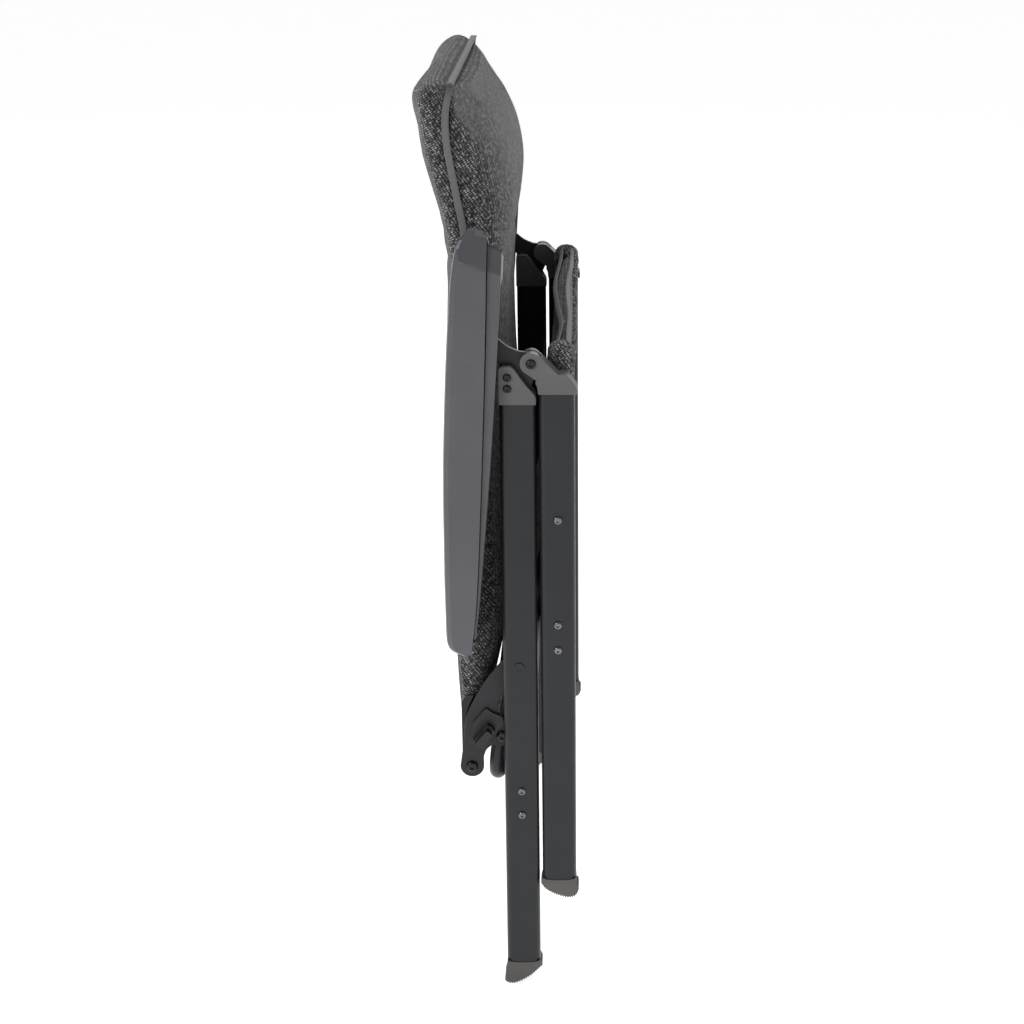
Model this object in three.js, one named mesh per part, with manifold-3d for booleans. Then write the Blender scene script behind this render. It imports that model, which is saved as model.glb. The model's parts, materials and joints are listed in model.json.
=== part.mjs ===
// Folding camp chair with a padded seat and back, folded flat and standing on its rear feet.
// Millimetres. +X is the chair's front, +Y the sitter's left, +Z up. The origin is on the ground,
// under the middle of the chair's box. Pieces of a pair are made for the left side and mirrored.
import * as THREE from "three";
import { mergeVertices } from "three/addons/utils/BufferGeometryUtils.js";
import Module from "manifold-3d";

const wasm = await Module();
wasm.setup();

// Clearance between touching pieces
const GAP = 0.3;

// Pivots as [x, z] on the folded chair
const HINGE = [39.5, 779];
const RATCHET = [-13, 800];
const LINK_PIVOT = [23, 418];
const SEAT_PIVOT = [68, 598];
const LINK_END = [1, 319];
const BACK_PIVOT = [-35.3, 280];
const ARMREST_PIVOT = [-41, 484];

// Legs: rounded box tubes, both pairs in one layer
const LEG_Y = 285;
const LEG_WIDTH = 40;
const LEG_THICK = 22;
const LEG_CORNER = 7;
const LEG_WALL = 1.8;
const LEG_INNER = LEG_Y - LEG_THICK / 2;
const LEG_OUTER = LEG_Y + LEG_THICK / 2;
const REAR_LEG = { x: 24, bottom: 29, top: 732 };
const FRONT_LEG = { x: 67.5, bottom: 142, top: 744 };

// Caps and feet stand slightly proud of the tubes
const CAP_INNER = LEG_INNER - 1;
const CAP_OUTER = LEG_OUTER + 1;
const PLUG_LENGTH = 20;

// Flat plates
const APEX_HALF = 2.5;
const LINK_INNER = 265.5;
const LINK_OUTER = 269.5;

// Cross bars between the legs
const BAR_DEPTH = 18;
const BAR_HEIGHT = 50;
const BAR_WALL = 1.5;
const REAR_BAR_Z = 244.5;
const FRONT_BAR_Z = 455.5;
const BAR_SCREW_SPREAD = 31;

// Round tubes
const TUBE_R = 10;
const TUBE_WALL = 1.5;
const SEAT_TUBE_Y = 255;
const BACK_TUBE_Y = 234;
const BEND = 30;
const SLEEVE_R = 15.5;
const SLEEVE_BOTTOM = [70, 645];
const SLEEVE_TOP = [74, 790];

// Armrests
const ARM_INNER = 260;
const ARM_OUTER = 310;
const ARM_WALL = 3.5;

// Fasteners: shank radii, then the radii of their heads and washers
const ROUND_STEPS = 10;
const BAR_SCREW_R = 2.5;
const CAP_SCREW_R = 2.4;
const RIVET_R = 4;
const HINGE_SCREW_R = 4;
const RATCHET_NECK_R = 3;
const RATCHET_PIN_R = 5;
const RATCHET_PIN_HALF = 17;
const ARMREST_PIN_R = 5;
const BAR_HEAD_R = 4.8;
const CAP_HEAD_R = 4.6;
const SEAT_HEAD_R = 5;
const HINGE_HEAD_R = 5.4;
const HINGE_NUT_R = 6;
const RIVET_HEAD_R = 6.2;
const BOLT_HEAD_R = 7;
const WASHER_R = 8;
const HEAD_RIM = 1.3;
const HEAD_RISE = 2.5;
const CAP_SCREWS = [[13.4, 763.5], [13.4, 751]];

// Hinge straps beside the back tube, each in one piece with its pin
const STRAP_INNER = 247;
const STRAP_OUTER = 256.5;
const STRAP_HALF_WIDTH = 12;
const STRAP_LENGTH = 75;

const slate = () => new THREE.MeshStandardMaterial({ color: 0x3f4346, roughness: 0.42, metalness: 0.55 });
const moulded = () => new THREE.MeshStandardMaterial({ color: 0x646464, roughness: 0.55, metalness: 0 });
const rubber = () => new THREE.MeshStandardMaterial({ color: 0x64625f, roughness: 0.8, metalness: 0 });
const armGrey = () => new THREE.MeshStandardMaterial({ color: 0x5c5c64, roughness: 0.38, metalness: 0 });
const blackSteel = () => new THREE.MeshStandardMaterial({ color: 0x232325, roughness: 0.4, metalness: 0.6 });
const blackPlastic = () => new THREE.MeshStandardMaterial({ color: 0x2c2c2e, roughness: 0.5, metalness: 0 });
const blackScrew = () => new THREE.MeshStandardMaterial({ color: 0x1a1a1c, roughness: 0.2, metalness: 0.8 });
const steelScrew = () => new THREE.MeshStandardMaterial({ color: 0x62666a, roughness: 0.3, metalness: 0.9 });
const fabric = () => new THREE.MeshStandardMaterial({ color: 0x3a3a3c, roughness: 0.95, metalness: 0 });

const chair = new THREE.Group();

// A closed indexed geometry with shared corners, no collapsed triangles, and its faces outward
function solid(geometry) {
  const bare = geometry.clone();
  bare.deleteAttribute("normal");
  bare.deleteAttribute("uv");
  const merged = mergeVertices(bare, 1e-4);
  const corners = merged.getAttribute("position");
  const index = merged.getIndex().array;
  const kept = [];
  let volume = 0;
  const [a, b, c] = [new THREE.Vector3(), new THREE.Vector3(), new THREE.Vector3()];
  for (let i = 0; i < index.length; i += 3) {
    const [p, q, r] = [index[i], index[i + 1], index[i + 2]];
    if (p === q || q === r || r === p) continue;
    kept.push(p, q, r);
    a.fromBufferAttribute(corners, p);
    b.fromBufferAttribute(corners, q);
    c.fromBufferAttribute(corners, r);
    volume += a.dot(b.cross(c));
  }
  merged.setIndex(volume > 0 ? kept : kept.reverse());
  return merged;
}

function toManifold(geometry) {
  const closed = solid(geometry);
  const vertProperties = new Float32Array(closed.getAttribute("position").array);
  const triVerts = new Uint32Array(closed.getIndex().array);
  return new wasm.Manifold(new wasm.Mesh({ numProp: 3, vertProperties, triVerts }));
}

function fromManifold(body) {
  const mesh = body.getMesh();
  const geometry = new THREE.BufferGeometry();
  geometry.setAttribute("position", new THREE.BufferAttribute(new Float32Array(mesh.vertProperties), 3));
  geometry.setIndex(new THREE.BufferAttribute(new Uint32Array(mesh.triVerts), 1));
  return geometry;
}

function cut(geometry, ...tools) {
  return fromManifold(tools.reduce((body, tool) => body.subtract(toManifold(tool)), toManifold(geometry)));
}

function join(geometry, ...others) {
  return fromManifold(others.reduce((body, other) => body.add(toManifold(other)), toManifold(geometry)));
}

function addPiece(name, geometry, material) {
  const mesh = new THREE.Mesh(solid(geometry), material);
  mesh.name = name;
  chair.add(mesh);
}

// Adds the left piece as made and the right piece as its mirror image
function addPair(name, geometry, finish) {
  addPiece(`left_${name}`, geometry, finish());
  const mirrored = solid(geometry);
  mirrored.scale(1, -1, 1);
  addPiece(`right_${name}`, mirrored, finish());
}

// An outline in x and z, extruded along y
function slab(shape, yFrom, yTo, bevel = 0, curveSegments = 3) {
  const geometry = new THREE.ExtrudeGeometry(shape, {
    depth: yTo - yFrom - 2 * bevel,
    bevelEnabled: bevel > 0,
    bevelThickness: bevel,
    bevelSize: bevel,
    bevelOffset: -bevel,
    bevelSegments: 1,
    curveSegments,
  });
  geometry.rotateX(Math.PI / 2);
  geometry.translate(0, yTo - bevel, 0);
  return geometry;
}

function polygon(...points) {
  return new THREE.Shape(points.map(([x, z]) => new THREE.Vector2(x, z)));
}

function vectors(points) {
  return points.map(([x, z]) => new THREE.Vector2(x, z));
}

function block(xFrom, xTo, yFrom, yTo, zFrom, zTo) {
  const box = new THREE.BoxGeometry(xTo - xFrom, yTo - yFrom, zTo - zFrom);
  return box.translate((xFrom + xTo) / 2, (yFrom + yTo) / 2, (zFrom + zTo) / 2);
}

function roundBar([x, z], radius, yFrom, yTo, steps = ROUND_STEPS) {
  const bar = new THREE.CylinderGeometry(radius, radius, yTo - yFrom, steps);
  return bar.translate(x, (yFrom + yTo) / 2, z);
}

// Clearance holes through a wall between two y: each hole is [centre, radius]
function drills(holes, yFrom, yTo) {
  return holes.map(([centre, radius]) => roundBar(centre, radius + GAP, yFrom - 5, yTo + 5));
}

// A turned fastener on an axis along y: sections are [radius, yFrom, yTo], from the inner end out
function turned([x, z], sections) {
  const profile = [new THREE.Vector2(0, sections[0][1])];
  for (const [radius, yFrom, yTo] of sections) {
    profile.push(new THREE.Vector2(radius, yFrom), new THREE.Vector2(radius, yTo));
  }
  profile.push(new THREE.Vector2(0, sections[sections.length - 1][2]));
  return new THREE.LatheGeometry(profile, ROUND_STEPS).translate(x, 0, z);
}

// Sections of a button head that stands on a face at y
function buttonHead(radius, y) {
  const crown = y + HEAD_RISE;
  return [[radius, y, y + HEAD_RIM], [0.6 * radius, crown - 0.2, crown]];
}

// Steel strap with round ends that stands up from a pivot
function strap([x, z]) {
  const shape = new THREE.Shape();
  shape.absarc(x, z, STRAP_HALF_WIDTH, Math.PI, 2 * Math.PI);
  shape.absarc(x, z + STRAP_LENGTH, STRAP_HALF_WIDTH, 0, Math.PI);
  return slab(shape, STRAP_INNER, STRAP_OUTER);
}

function roundedBox(width, height, corner) {
  const shape = new THREE.Shape();
  const [w, h] = [width / 2, height / 2];
  shape.moveTo(w, -h + corner);
  shape.absarc(w - corner, h - corner, corner, 0, Math.PI / 2);
  shape.absarc(-w + corner, h - corner, corner, Math.PI / 2, Math.PI);
  shape.absarc(-w + corner, -h + corner, corner, Math.PI, 1.5 * Math.PI);
  shape.absarc(w - corner, -h + corner, corner, 1.5 * Math.PI, 2 * Math.PI);
  return shape;
}

// Hollow leg tube standing on its foot, drilled across for its fasteners
function legTube(leg, holes) {
  const section = roundedBox(LEG_WIDTH, LEG_THICK, LEG_CORNER);
  const [boreWidth, boreThick] = [LEG_WIDTH - 2 * LEG_WALL, LEG_THICK - 2 * LEG_WALL];
  section.holes.push(roundedBox(boreWidth, boreThick, LEG_CORNER - LEG_WALL));
  const depth = leg.top - leg.bottom - GAP;
  const tube = new THREE.ExtrudeGeometry(section, { depth, bevelEnabled: false, curveSegments: 2 });
  tube.translate(leg.x, LEG_Y, leg.bottom + GAP);
  return cut(tube, ...drills(holes, LEG_INNER, LEG_OUTER));
}

// Plug that holds a cap or a foot inside the end of a leg, clear of its rounded corners
function plug(leg, zFrom, zTo) {
  const halfWidth = LEG_WIDTH / 2 - LEG_WALL - 4;
  const halfThick = LEG_THICK / 2 - LEG_WALL - 3;
  return block(leg.x - halfWidth, leg.x + halfWidth, LEG_Y - halfThick, LEG_Y + halfThick, zFrom, zTo);
}

function barScrewCentres(leg, barZ) {
  return [1, -1].map((sign) => [leg.x, barZ + (sign * BAR_SCREW_SPREAD) / 2]);
}

function barScrews(prefix, leg, barZ) {
  barScrewCentres(leg, barZ).forEach((centre, i) => {
    const shank = [BAR_SCREW_R, LEG_INNER - 12, LEG_OUTER + GAP];
    const screw = turned(centre, [shank, ...buttonHead(BAR_HEAD_R, LEG_OUTER + GAP)]);
    addPair(`${prefix}_bar_screw_${i + 1}`, screw, steelScrew);
  });
}

// Hollow oval cross bar between two legs
function crossBar(name, leg, barZ) {
  const corner = BAR_DEPTH / 2 - 0.5;
  const section = roundedBox(BAR_DEPTH, BAR_HEIGHT, corner);
  section.holes.push(roundedBox(BAR_DEPTH - 2 * BAR_WALL, BAR_HEIGHT - 2 * BAR_WALL, corner - BAR_WALL));
  const length = 2 * (LEG_INNER - GAP);
  const bar = new THREE.ExtrudeGeometry(section, { depth: length, bevelEnabled: false, curveSegments: 2 });
  bar.rotateX(Math.PI / 2);
  bar.translate(leg.x, length / 2, barZ);
  addPiece(name, bar, slate());
}

function rearLegs() {
  const barHoles = barScrewCentres(REAR_LEG, REAR_BAR_Z).map((centre) => [centre, BAR_SCREW_R]);
  addPair("rear_leg", legTube(REAR_LEG, [[LINK_PIVOT, RIVET_R], ...barHoles]), slate);

  // The cap's slot holds the apex plate between its two halves
  const capShape = polygon([3.4, 732], [44.8, 732], [44.8, 742], [42.6, 747], [33.4, 755.1], [21.3, 772.4],
    [17.7, 775.6], [7, 776], [3.4, 772]);
  const slot = block(-5, 60, LEG_Y - APEX_HALF - GAP, LEG_Y + APEX_HALF + GAP, 738, 790);
  const screwHoles = CAP_SCREWS.map((centre) => [centre, CAP_SCREW_R]);
  const cap = join(slab(capShape, CAP_INNER, CAP_OUTER, 1.5), plug(REAR_LEG, 732 - PLUG_LENGTH, 734));
  addPair("rear_cap", cut(cap, slot, ...drills(screwHoles, CAP_INNER, CAP_OUTER)), moulded);
  CAP_SCREWS.forEach((centre, i) => {
    const shank = [CAP_SCREW_R, CAP_INNER + 1, CAP_OUTER + GAP];
    const screw = turned(centre, [shank, ...buttonHead(CAP_HEAD_R, CAP_OUTER + GAP)]);
    addPair(`cap_screw_${i + 1}`, screw, blackScrew);
  });

  // The sole's long facet lies flat on the ground when the chair is open
  const sole = polygon([3.6, 29], [2.6, 17], [0.6, 6], [3.2, 2], [8.5, 0], [12.5, 0], [18, 2.9], [34, 14.3],
    [42, 21.8], [47, 29.3], [47.4, 33.5], [44.4, 36], [44.4, 29]);
  const foot = join(slab(sole, CAP_INNER, CAP_OUTER, 0.6), plug(REAR_LEG, 27, 29 + PLUG_LENGTH));
  addPair("rear_foot", foot, rubber);

  const [rx, rz] = RATCHET;
  const [hx, hz] = HINGE;
  const apex = new THREE.Shape();
  apex.absarc(rx, rz, 13.5, Math.PI, 0.27 * Math.PI, true);
  apex.splineThru(vectors([[3.8, 804.3], [14.6, 795.8], [26.2, 790.8]]));
  apex.absarc(hx, hz, 11.4, 0.62 * Math.PI, -0.1 * Math.PI, true);
  apex.lineTo(42, 750);
  apex.lineTo(40, 739);
  apex.lineTo(8, 739);
  apex.lineTo(6, 770);
  apex.quadraticCurveTo(-2, 784, -22, 790);
  const [apexInner, apexOuter] = [LEG_Y - APEX_HALF, LEG_Y + APEX_HALF];
  const apexHoles = [[HINGE, HINGE_SCREW_R], [RATCHET, RATCHET_NECK_R], ...screwHoles];
  const apexDrills = drills(apexHoles, apexInner, apexOuter);
  addPair("apex_plate", cut(slab(apex, apexInner, apexOuter), ...apexDrills), blackSteel);

  const pin = turned(RATCHET, [
    [RATCHET_PIN_R, LEG_Y - RATCHET_PIN_HALF, apexInner - GAP],
    [RATCHET_NECK_R, apexInner - GAP, apexOuter + GAP],
    [RATCHET_PIN_R, apexOuter + GAP, LEG_Y + RATCHET_PIN_HALF],
  ]);
  addPair("ratchet_pin", pin, steelScrew);

  const rivet = turned(LINK_PIVOT, [
    [RIVET_R, LINK_INNER, LINK_OUTER + GAP],
    [WASHER_R, LINK_OUTER + GAP, LEG_INNER - GAP],
    [RIVET_R, LEG_INNER - GAP, LEG_OUTER + GAP],
    [RIVET_HEAD_R, LEG_OUTER + GAP, LEG_OUTER + 1.2],
  ]);
  addPair("link_rivet", rivet, blackScrew);
  crossBar("rear_cross_bar", REAR_LEG, REAR_BAR_Z);
  barScrews("rear", REAR_LEG, REAR_BAR_Z);
}

function frontLegs() {
  const barHoles = barScrewCentres(FRONT_LEG, FRONT_BAR_Z).map((centre) => [centre, BAR_SCREW_R]);
  addPair("front_leg", legTube(FRONT_LEG, [[SEAT_PIVOT, RIVET_R], ...barHoles]), slate);

  // Two cheeks reach back to the hinge, one on each side of the apex plate
  const [hx, hz] = HINGE;
  const capShape = new THREE.Shape();
  capShape.absarc(hx, hz, 12, 1.28 * Math.PI, 0.28 * Math.PI, true);
  capShape.lineTo(76, 764);
  capShape.quadraticCurveTo(90, 752, 90.5, 744);
  capShape.lineTo(47, 744);
  capShape.lineTo(45.6, 753);
  const [slotInner, slotOuter] = [LEG_Y - APEX_HALF - 2, LEG_Y + APEX_HALF + 2];
  const slot = block(20, 48.5, slotInner, slotOuter, 735, 800);
  const fork = roundBar(HINGE, 15, slotInner, slotOuter, 2 * ROUND_STEPS);
  const boltHole = drills([[HINGE, HINGE_SCREW_R]], CAP_INNER, CAP_OUTER);
  const cap = join(slab(capShape, CAP_INNER, CAP_OUTER, 1.5), plug(FRONT_LEG, 744 - PLUG_LENGTH, 746));
  addPair("front_cap", cut(cap, slot, fork, ...boltHole), moulded);
  const screw = turned(HINGE, [
    [HINGE_NUT_R, CAP_INNER - 2.5, CAP_INNER - GAP],
    [HINGE_SCREW_R, CAP_INNER - GAP, CAP_OUTER + GAP],
    ...buttonHead(HINGE_HEAD_R, CAP_OUTER + GAP),
  ]);
  addPair("hinge_screw", screw, blackScrew);

  // Its facet faces the other way, because the front leg swings forward to open
  const sole = polygon([87.6, 142], [90.8, 130], [89.6, 124.4], [85, 120.4], [79.5, 118.6], [76, 118.9],
    [58, 124.24], [50, 131.4], [45, 140.6], [45.6, 146], [47.1, 146], [47.1, 142]);
  const foot = join(slab(sole, CAP_INNER, CAP_OUTER, 0.6), plug(FRONT_LEG, 140, 142 + PLUG_LENGTH));
  addPair("front_foot", foot, rubber);
  crossBar("front_cross_bar", FRONT_LEG, FRONT_BAR_Z);
  barScrews("front", FRONT_LEG, FRONT_BAR_Z);
}

// Round tube along a route through the given points, drilled along y at its pivots on both sides
function bentTube(points, steps, pivots, sideY) {
  const section = new THREE.Shape();
  section.absarc(0, 0, TUBE_R, 0, 2 * Math.PI);
  const bore = new THREE.Path();
  bore.absarc(0, 0, TUBE_R - TUBE_WALL, 0, 2 * Math.PI);
  section.holes.push(bore);
  const extrudePath = new THREE.CatmullRomCurve3(points.map((p) => new THREE.Vector3(...p)));
  const tube = new THREE.ExtrudeGeometry(section, { steps, extrudePath, curveSegments: 4 });
  const holes = pivots.map((centre) => [centre, RIVET_R]);
  const sides = [sideY, -sideY].flatMap((y) => drills(holes, y - TUBE_R, y + TUBE_R));
  return cut(tube, ...sides);
}

// The left half of a route, continued by its mirror image on the right
function mirroredRoute(half) {
  return [...half, ...half.map(([x, y, z]) => [x, -y, z]).reverse()];
}

function seat() {
  const y = SEAT_TUBE_Y;
  const [px, pz] = SEAT_PIVOT;
  const [ex, ez] = LINK_END;
  const rearZ = 267;
  const [lowX, lowZ] = SLEEVE_BOTTOM;
  const [topX, topZ] = SLEEVE_TOP;
  const slope = (topX - lowX) / (topZ - lowZ);
  const tubeTop = topZ - 6;
  const route = mirroredRoute([
    [lowX + slope * (tubeTop - lowZ), y, tubeTop],
    [(lowX + topX) / 2, y, (lowZ + topZ) / 2],
    [lowX, y, lowZ],
    [px, y, pz],
    [(px + ex) / 2, y, (pz + ez) / 2],
    [ex, y, ez],
    [-5, y, rearZ + BEND * 0.75],
    [-6, y - BEND * 0.3, rearZ + BEND * 0.12],
    [-6, y - BEND, rearZ],
    [-6, 90, rearZ],
  ]);
  addPiece("seat_frame", bentTube(route, 46, [SEAT_PIVOT], y), slate());
  const screw = turned(SEAT_PIVOT, [
    [RIVET_R, y - TUBE_R + 1, y + TUBE_R + GAP],
    [WASHER_R, y + TUBE_R + GAP, LEG_INNER - GAP],
    [RIVET_R, LEG_INNER - GAP, LEG_OUTER + GAP],
    ...buttonHead(SEAT_HEAD_R, LEG_OUTER + GAP),
  ]);
  addPair("seat_pivot_screw", screw, steelScrew);

  // Padded sleeves close over the front ends of the side tubes
  const bore = TUBE_R + 0.6;
  const height = topZ - lowZ;
  const profile = vectors([[bore, 0], [SLEEVE_R, 0], [SLEEVE_R, height - 9], [SLEEVE_R - 5, height - 1.5],
    [0, height], [0, height - 6 + GAP], [bore, height - 6 + GAP], [bore, 0]]);
  const sleeve = new THREE.LatheGeometry(profile, 2 * ROUND_STEPS);
  sleeve.rotateX(Math.PI / 2).rotateY(Math.atan(slope)).translate(lowX, y, lowZ);
  addPair("seat_sleeve", sleeve, fabric);

  // Padded cover between the side tubes; its sitting face is towards the back
  const cover = new THREE.Shape();
  cover.moveTo(-13, 302);
  cover.splineThru(vectors([[-11, 322], [22, 464], [54, 602], [61, 690], [63, 776]]));
  cover.quadraticCurveTo(72, topZ + 13, 81, 776);
  cover.splineThru(vectors([[79, 690], [74, 597], [43, 457], [10, 318], [6, 302]]));
  const half = y - SLEEVE_R - 2 * GAP;
  addPiece("seat_cover", slab(cover, -half, half), fabric());
}

function links() {
  const [ax, az] = BACK_PIVOT;
  const [px, pz] = LINK_PIVOT;
  const [ex, ez] = LINK_END;
  const plate = new THREE.Shape();
  plate.absarc(ax, az, 14, 0, Math.PI, true);
  plate.splineThru(vectors([[-45, 315], [-40, 346], [-26.7, 374], [-8.7, 403], [8, 419]]));
  plate.absarc(px, pz, 15, 0.9 * Math.PI, -0.42 * Math.PI, true);
  plate.lineTo(19, 377.7);
  plate.absarc(18, 355.5, 22.2, 0.5 * Math.PI, 1.39 * Math.PI);
  plate.absarc(ex, ez, 13, 0.25 * Math.PI, -0.56 * Math.PI, true);
  plate.quadraticCurveTo(-20, 306, -21.3, 291);
  const holes = [LINK_PIVOT, LINK_END, BACK_PIVOT].map((centre) => [centre, RIVET_R]);
  const linkPlate = cut(slab(plate, LINK_INNER, LINK_OUTER), ...drills(holes, LINK_INNER, LINK_OUTER));
  addPair("link_plate", linkPlate, blackSteel);

  // The thin base slides under the leg; the thick block meets the leg's rear face when open
  const base = polygon([-33.5, 322], [-33.5, 337], [-17.5, 356.5], [-11, 351], [2, 345], [2, 334],
    [-7.5, 328], [-21.7, 310]);
  const stop = polygon([-34, 315], [-34, 316.9], [-16, 338.9], [-12, 337], [-6.5, 329.5], [-21.7, 310]);
  const footing = slab(base, LINK_OUTER + GAP, LEG_INNER - GAP);
  addPair("stop_block", join(footing, slab(stop, LINK_OUTER + GAP + 1, LEG_Y + 6, 1.5)), blackPlastic);

  const linkScrew = turned(LINK_END, [
    [RIVET_R, LINK_INNER, LINK_OUTER + GAP],
    [BOLT_HEAD_R, LINK_OUTER + GAP, LEG_INNER - GAP],
  ]);
  addPair("link_screw", linkScrew, blackScrew);
  const bolt = turned(BACK_PIVOT, [
    [RIVET_R, BACK_TUBE_Y - TUBE_R + 1, BACK_TUBE_Y + TUBE_R + GAP],
    [WASHER_R, BACK_TUBE_Y + TUBE_R + GAP, LINK_INNER - GAP],
    [RIVET_R, LINK_INNER - GAP, LINK_OUTER + GAP],
    [BOLT_HEAD_R, LINK_OUTER + GAP, LEG_INNER - GAP],
  ]);
  addPair("back_pivot_bolt", join(bolt, strap(BACK_PIVOT)), blackScrew);
}

function backrest() {
  const y = BACK_TUBE_Y;
  const topZ = 1060;
  const route = mirroredRoute([
    [BACK_PIVOT[0], y, BACK_PIVOT[1] - 12],
    [BACK_PIVOT[0] - 1, y, BACK_PIVOT[1] + 20],
    [-42, y, 400],
    [-45, y, 560],
    [-40, y, 720],
    [-33, y, 860],
    [-35, y, 960],
    [-44, y, topZ - BEND],
    [-46, y - BEND * 0.3, topZ - BEND * 0.22],
    [-47, y - BEND, topZ],
    [-47, 90, topZ],
  ]);
  addPiece("back_frame", bentTube(route, 54, [BACK_PIVOT, ARMREST_PIVOT], y), slate());

  const half = y - TUBE_R - 3;
  const cover = new THREE.Shape();
  cover.moveTo(-50, 327);
  cover.splineThru(vectors([[-55, 420], [-61, 560], [-61, 680], [-52, 830], [-50, 915], [-68, 985],
    [-91, 1035]]));
  cover.quadraticCurveTo(-90, 1066, -66, 1070);
  cover.lineTo(-59.5, 1070);
  cover.lineTo(-59.5, 1030);
  cover.lineTo(-30, 1030);
  cover.splineThru(vectors([[-20, 1020], [-7, 975], [-2, 900], [-5, 810], [-12, 680], [-17, 540], [-18, 420],
    [-22, 327]]));
  addPiece("back_cover", slab(cover, -half, half), fabric());

  const pillow = new THREE.Shape();
  pillow.moveTo(0.5, 862);
  pillow.splineThru(vectors([[13, 880], [21.5, 944], [15, 998], [-8, 1034]]));
  pillow.splineThru(vectors([[-14, 1024], [-4.5, 975], [-0.5, 900], [0.5, 862]]));
  addPiece("head_pillow", slab(pillow, -half + 15, half - 15), fabric());
}

function armrests() {
  const pin = turned(ARMREST_PIVOT, [
    [RIVET_R, BACK_TUBE_Y - TUBE_R + 1, BACK_TUBE_Y + TUBE_R + GAP],
    [WASHER_R, BACK_TUBE_Y + TUBE_R + GAP, ARM_INNER - GAP],
    [ARMREST_PIN_R, ARM_INNER - GAP, ARM_INNER + ARM_WALL + GAP],
    [WASHER_R, ARM_INNER + ARM_WALL + GAP, ARM_INNER + ARM_WALL + 4],
  ]);
  addPair("armrest_pin", join(pin, strap(ARMREST_PIVOT)), steelScrew);

  // Side outline: the arm's top is towards -x, its open channel towards the legs
  const seam = [[-6, 921], [-14, 690], [-23.5, 510], [-31, 437]];
  const shellShape = new THREE.Shape();
  shellShape.moveTo(-31, 437);
  shellShape.lineTo(-51, 449);
  shellShape.splineThru(vectors([[-57.5, 462], [-58.5, 540], [-56, 678], [-45, 854], [-34, 915]]));
  shellShape.lineTo(-28, 927);
  shellShape.lineTo(-6, 921);
  shellShape.splineThru(vectors(seam.slice(1)));
  const channel = polygon([-52, 455], [-54.5, 540], [-52, 678], [-41, 854], [-31.5, 908], [-24, 918],
    [30, 905], [30, 455]);
  const hollow = slab(channel, ARM_INNER + ARM_WALL, ARM_OUTER - ARM_WALL);
  const pinHole = drills([[ARMREST_PIVOT, ARMREST_PIN_R]], ARM_INNER, ARM_INNER + ARM_WALL);
  addPair("armrest_shell", cut(slab(shellShape, ARM_INNER, ARM_OUTER, 2.5), hollow, ...pinHole), armGrey);

  const rail = new THREE.Shape();
  rail.moveTo(-30.6, 437);
  rail.splineThru(vectors(seam.slice(0, 3).reverse().map(([x, z]) => [x + 0.4, z])));
  rail.lineTo(11, 916);
  rail.splineThru(vectors([[7.5, 850], [-5, 678], [-20.5, 505], [-28, 437]]));
  const opening = block(-40, 30, ARM_INNER + 4, ARM_OUTER - 4, 462, 895);
  addPair("armrest_rail", cut(slab(rail, ARM_INNER + 0.5, ARM_OUTER - 0.5), opening), armGrey);
}

rearLegs();
frontLegs();
seat();
links();
backrest();
armrests();

export default chair;
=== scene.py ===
"""Folding camp chair, folded flat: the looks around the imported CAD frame. Metres, +X front, +Z up."""
import json
import math

import bmesh
import bpy
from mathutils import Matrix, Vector, noise


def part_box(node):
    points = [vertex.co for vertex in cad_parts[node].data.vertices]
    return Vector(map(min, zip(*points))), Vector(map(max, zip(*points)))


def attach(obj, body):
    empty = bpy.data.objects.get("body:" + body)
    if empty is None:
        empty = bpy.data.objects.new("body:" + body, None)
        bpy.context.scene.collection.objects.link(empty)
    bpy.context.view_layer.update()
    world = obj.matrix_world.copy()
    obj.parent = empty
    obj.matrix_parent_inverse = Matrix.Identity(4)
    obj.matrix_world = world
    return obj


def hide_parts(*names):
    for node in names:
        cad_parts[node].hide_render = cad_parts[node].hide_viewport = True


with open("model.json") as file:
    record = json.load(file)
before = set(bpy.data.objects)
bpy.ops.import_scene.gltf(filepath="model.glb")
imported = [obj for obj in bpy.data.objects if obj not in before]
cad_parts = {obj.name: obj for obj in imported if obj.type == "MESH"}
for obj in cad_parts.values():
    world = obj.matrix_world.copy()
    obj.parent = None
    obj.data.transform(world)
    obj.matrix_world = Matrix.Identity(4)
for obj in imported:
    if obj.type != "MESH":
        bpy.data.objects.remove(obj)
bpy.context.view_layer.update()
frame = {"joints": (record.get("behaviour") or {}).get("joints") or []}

MM = 0.001
SIDES = (("left", 1), ("right", -1))
JOINT = {j["name"]: Vector(j["pos_m"]) for j in frame["joints"]}
HINGE = JOINT["fold"]
LINK_PIVOT = JOINT["link_fold"]
SEAT_PIVOT = JOINT["seat_fold"]
BACK_PIVOT = JOINT["back_fold"]
ARM_PIVOT = JOINT["armrest_fold"]


def lerp(a, b, t):
    return a + (b - a) * t


def curve_at(points, z):
    """Smooth value at z of a curve given as (z, value) points, by Catmull-Rom between them."""
    if z <= points[0][0]:
        return points[0][1]
    if z >= points[-1][0]:
        return points[-1][1]
    i = max(k for k in range(len(points) - 1) if points[k][0] <= z)
    (z1, v1), (z2, v2) = points[i], points[i + 1]
    z0, v0 = points[max(i - 1, 0)]
    z3, v3 = points[min(i + 2, len(points) - 1)]
    t = (z - z1) / (z2 - z1)
    m1 = (v2 - v0) / (z2 - z0) * (z2 - z1)
    m2 = (v3 - v1) / (z3 - z1) * (z2 - z1)
    t2, t3 = t * t, t * t * t
    return (2 * t3 - 3 * t2 + 1) * v1 + (t3 - 2 * t2 + t) * m1 + (3 * t2 - 2 * t3) * v2 + (t3 - t2) * m2


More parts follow.
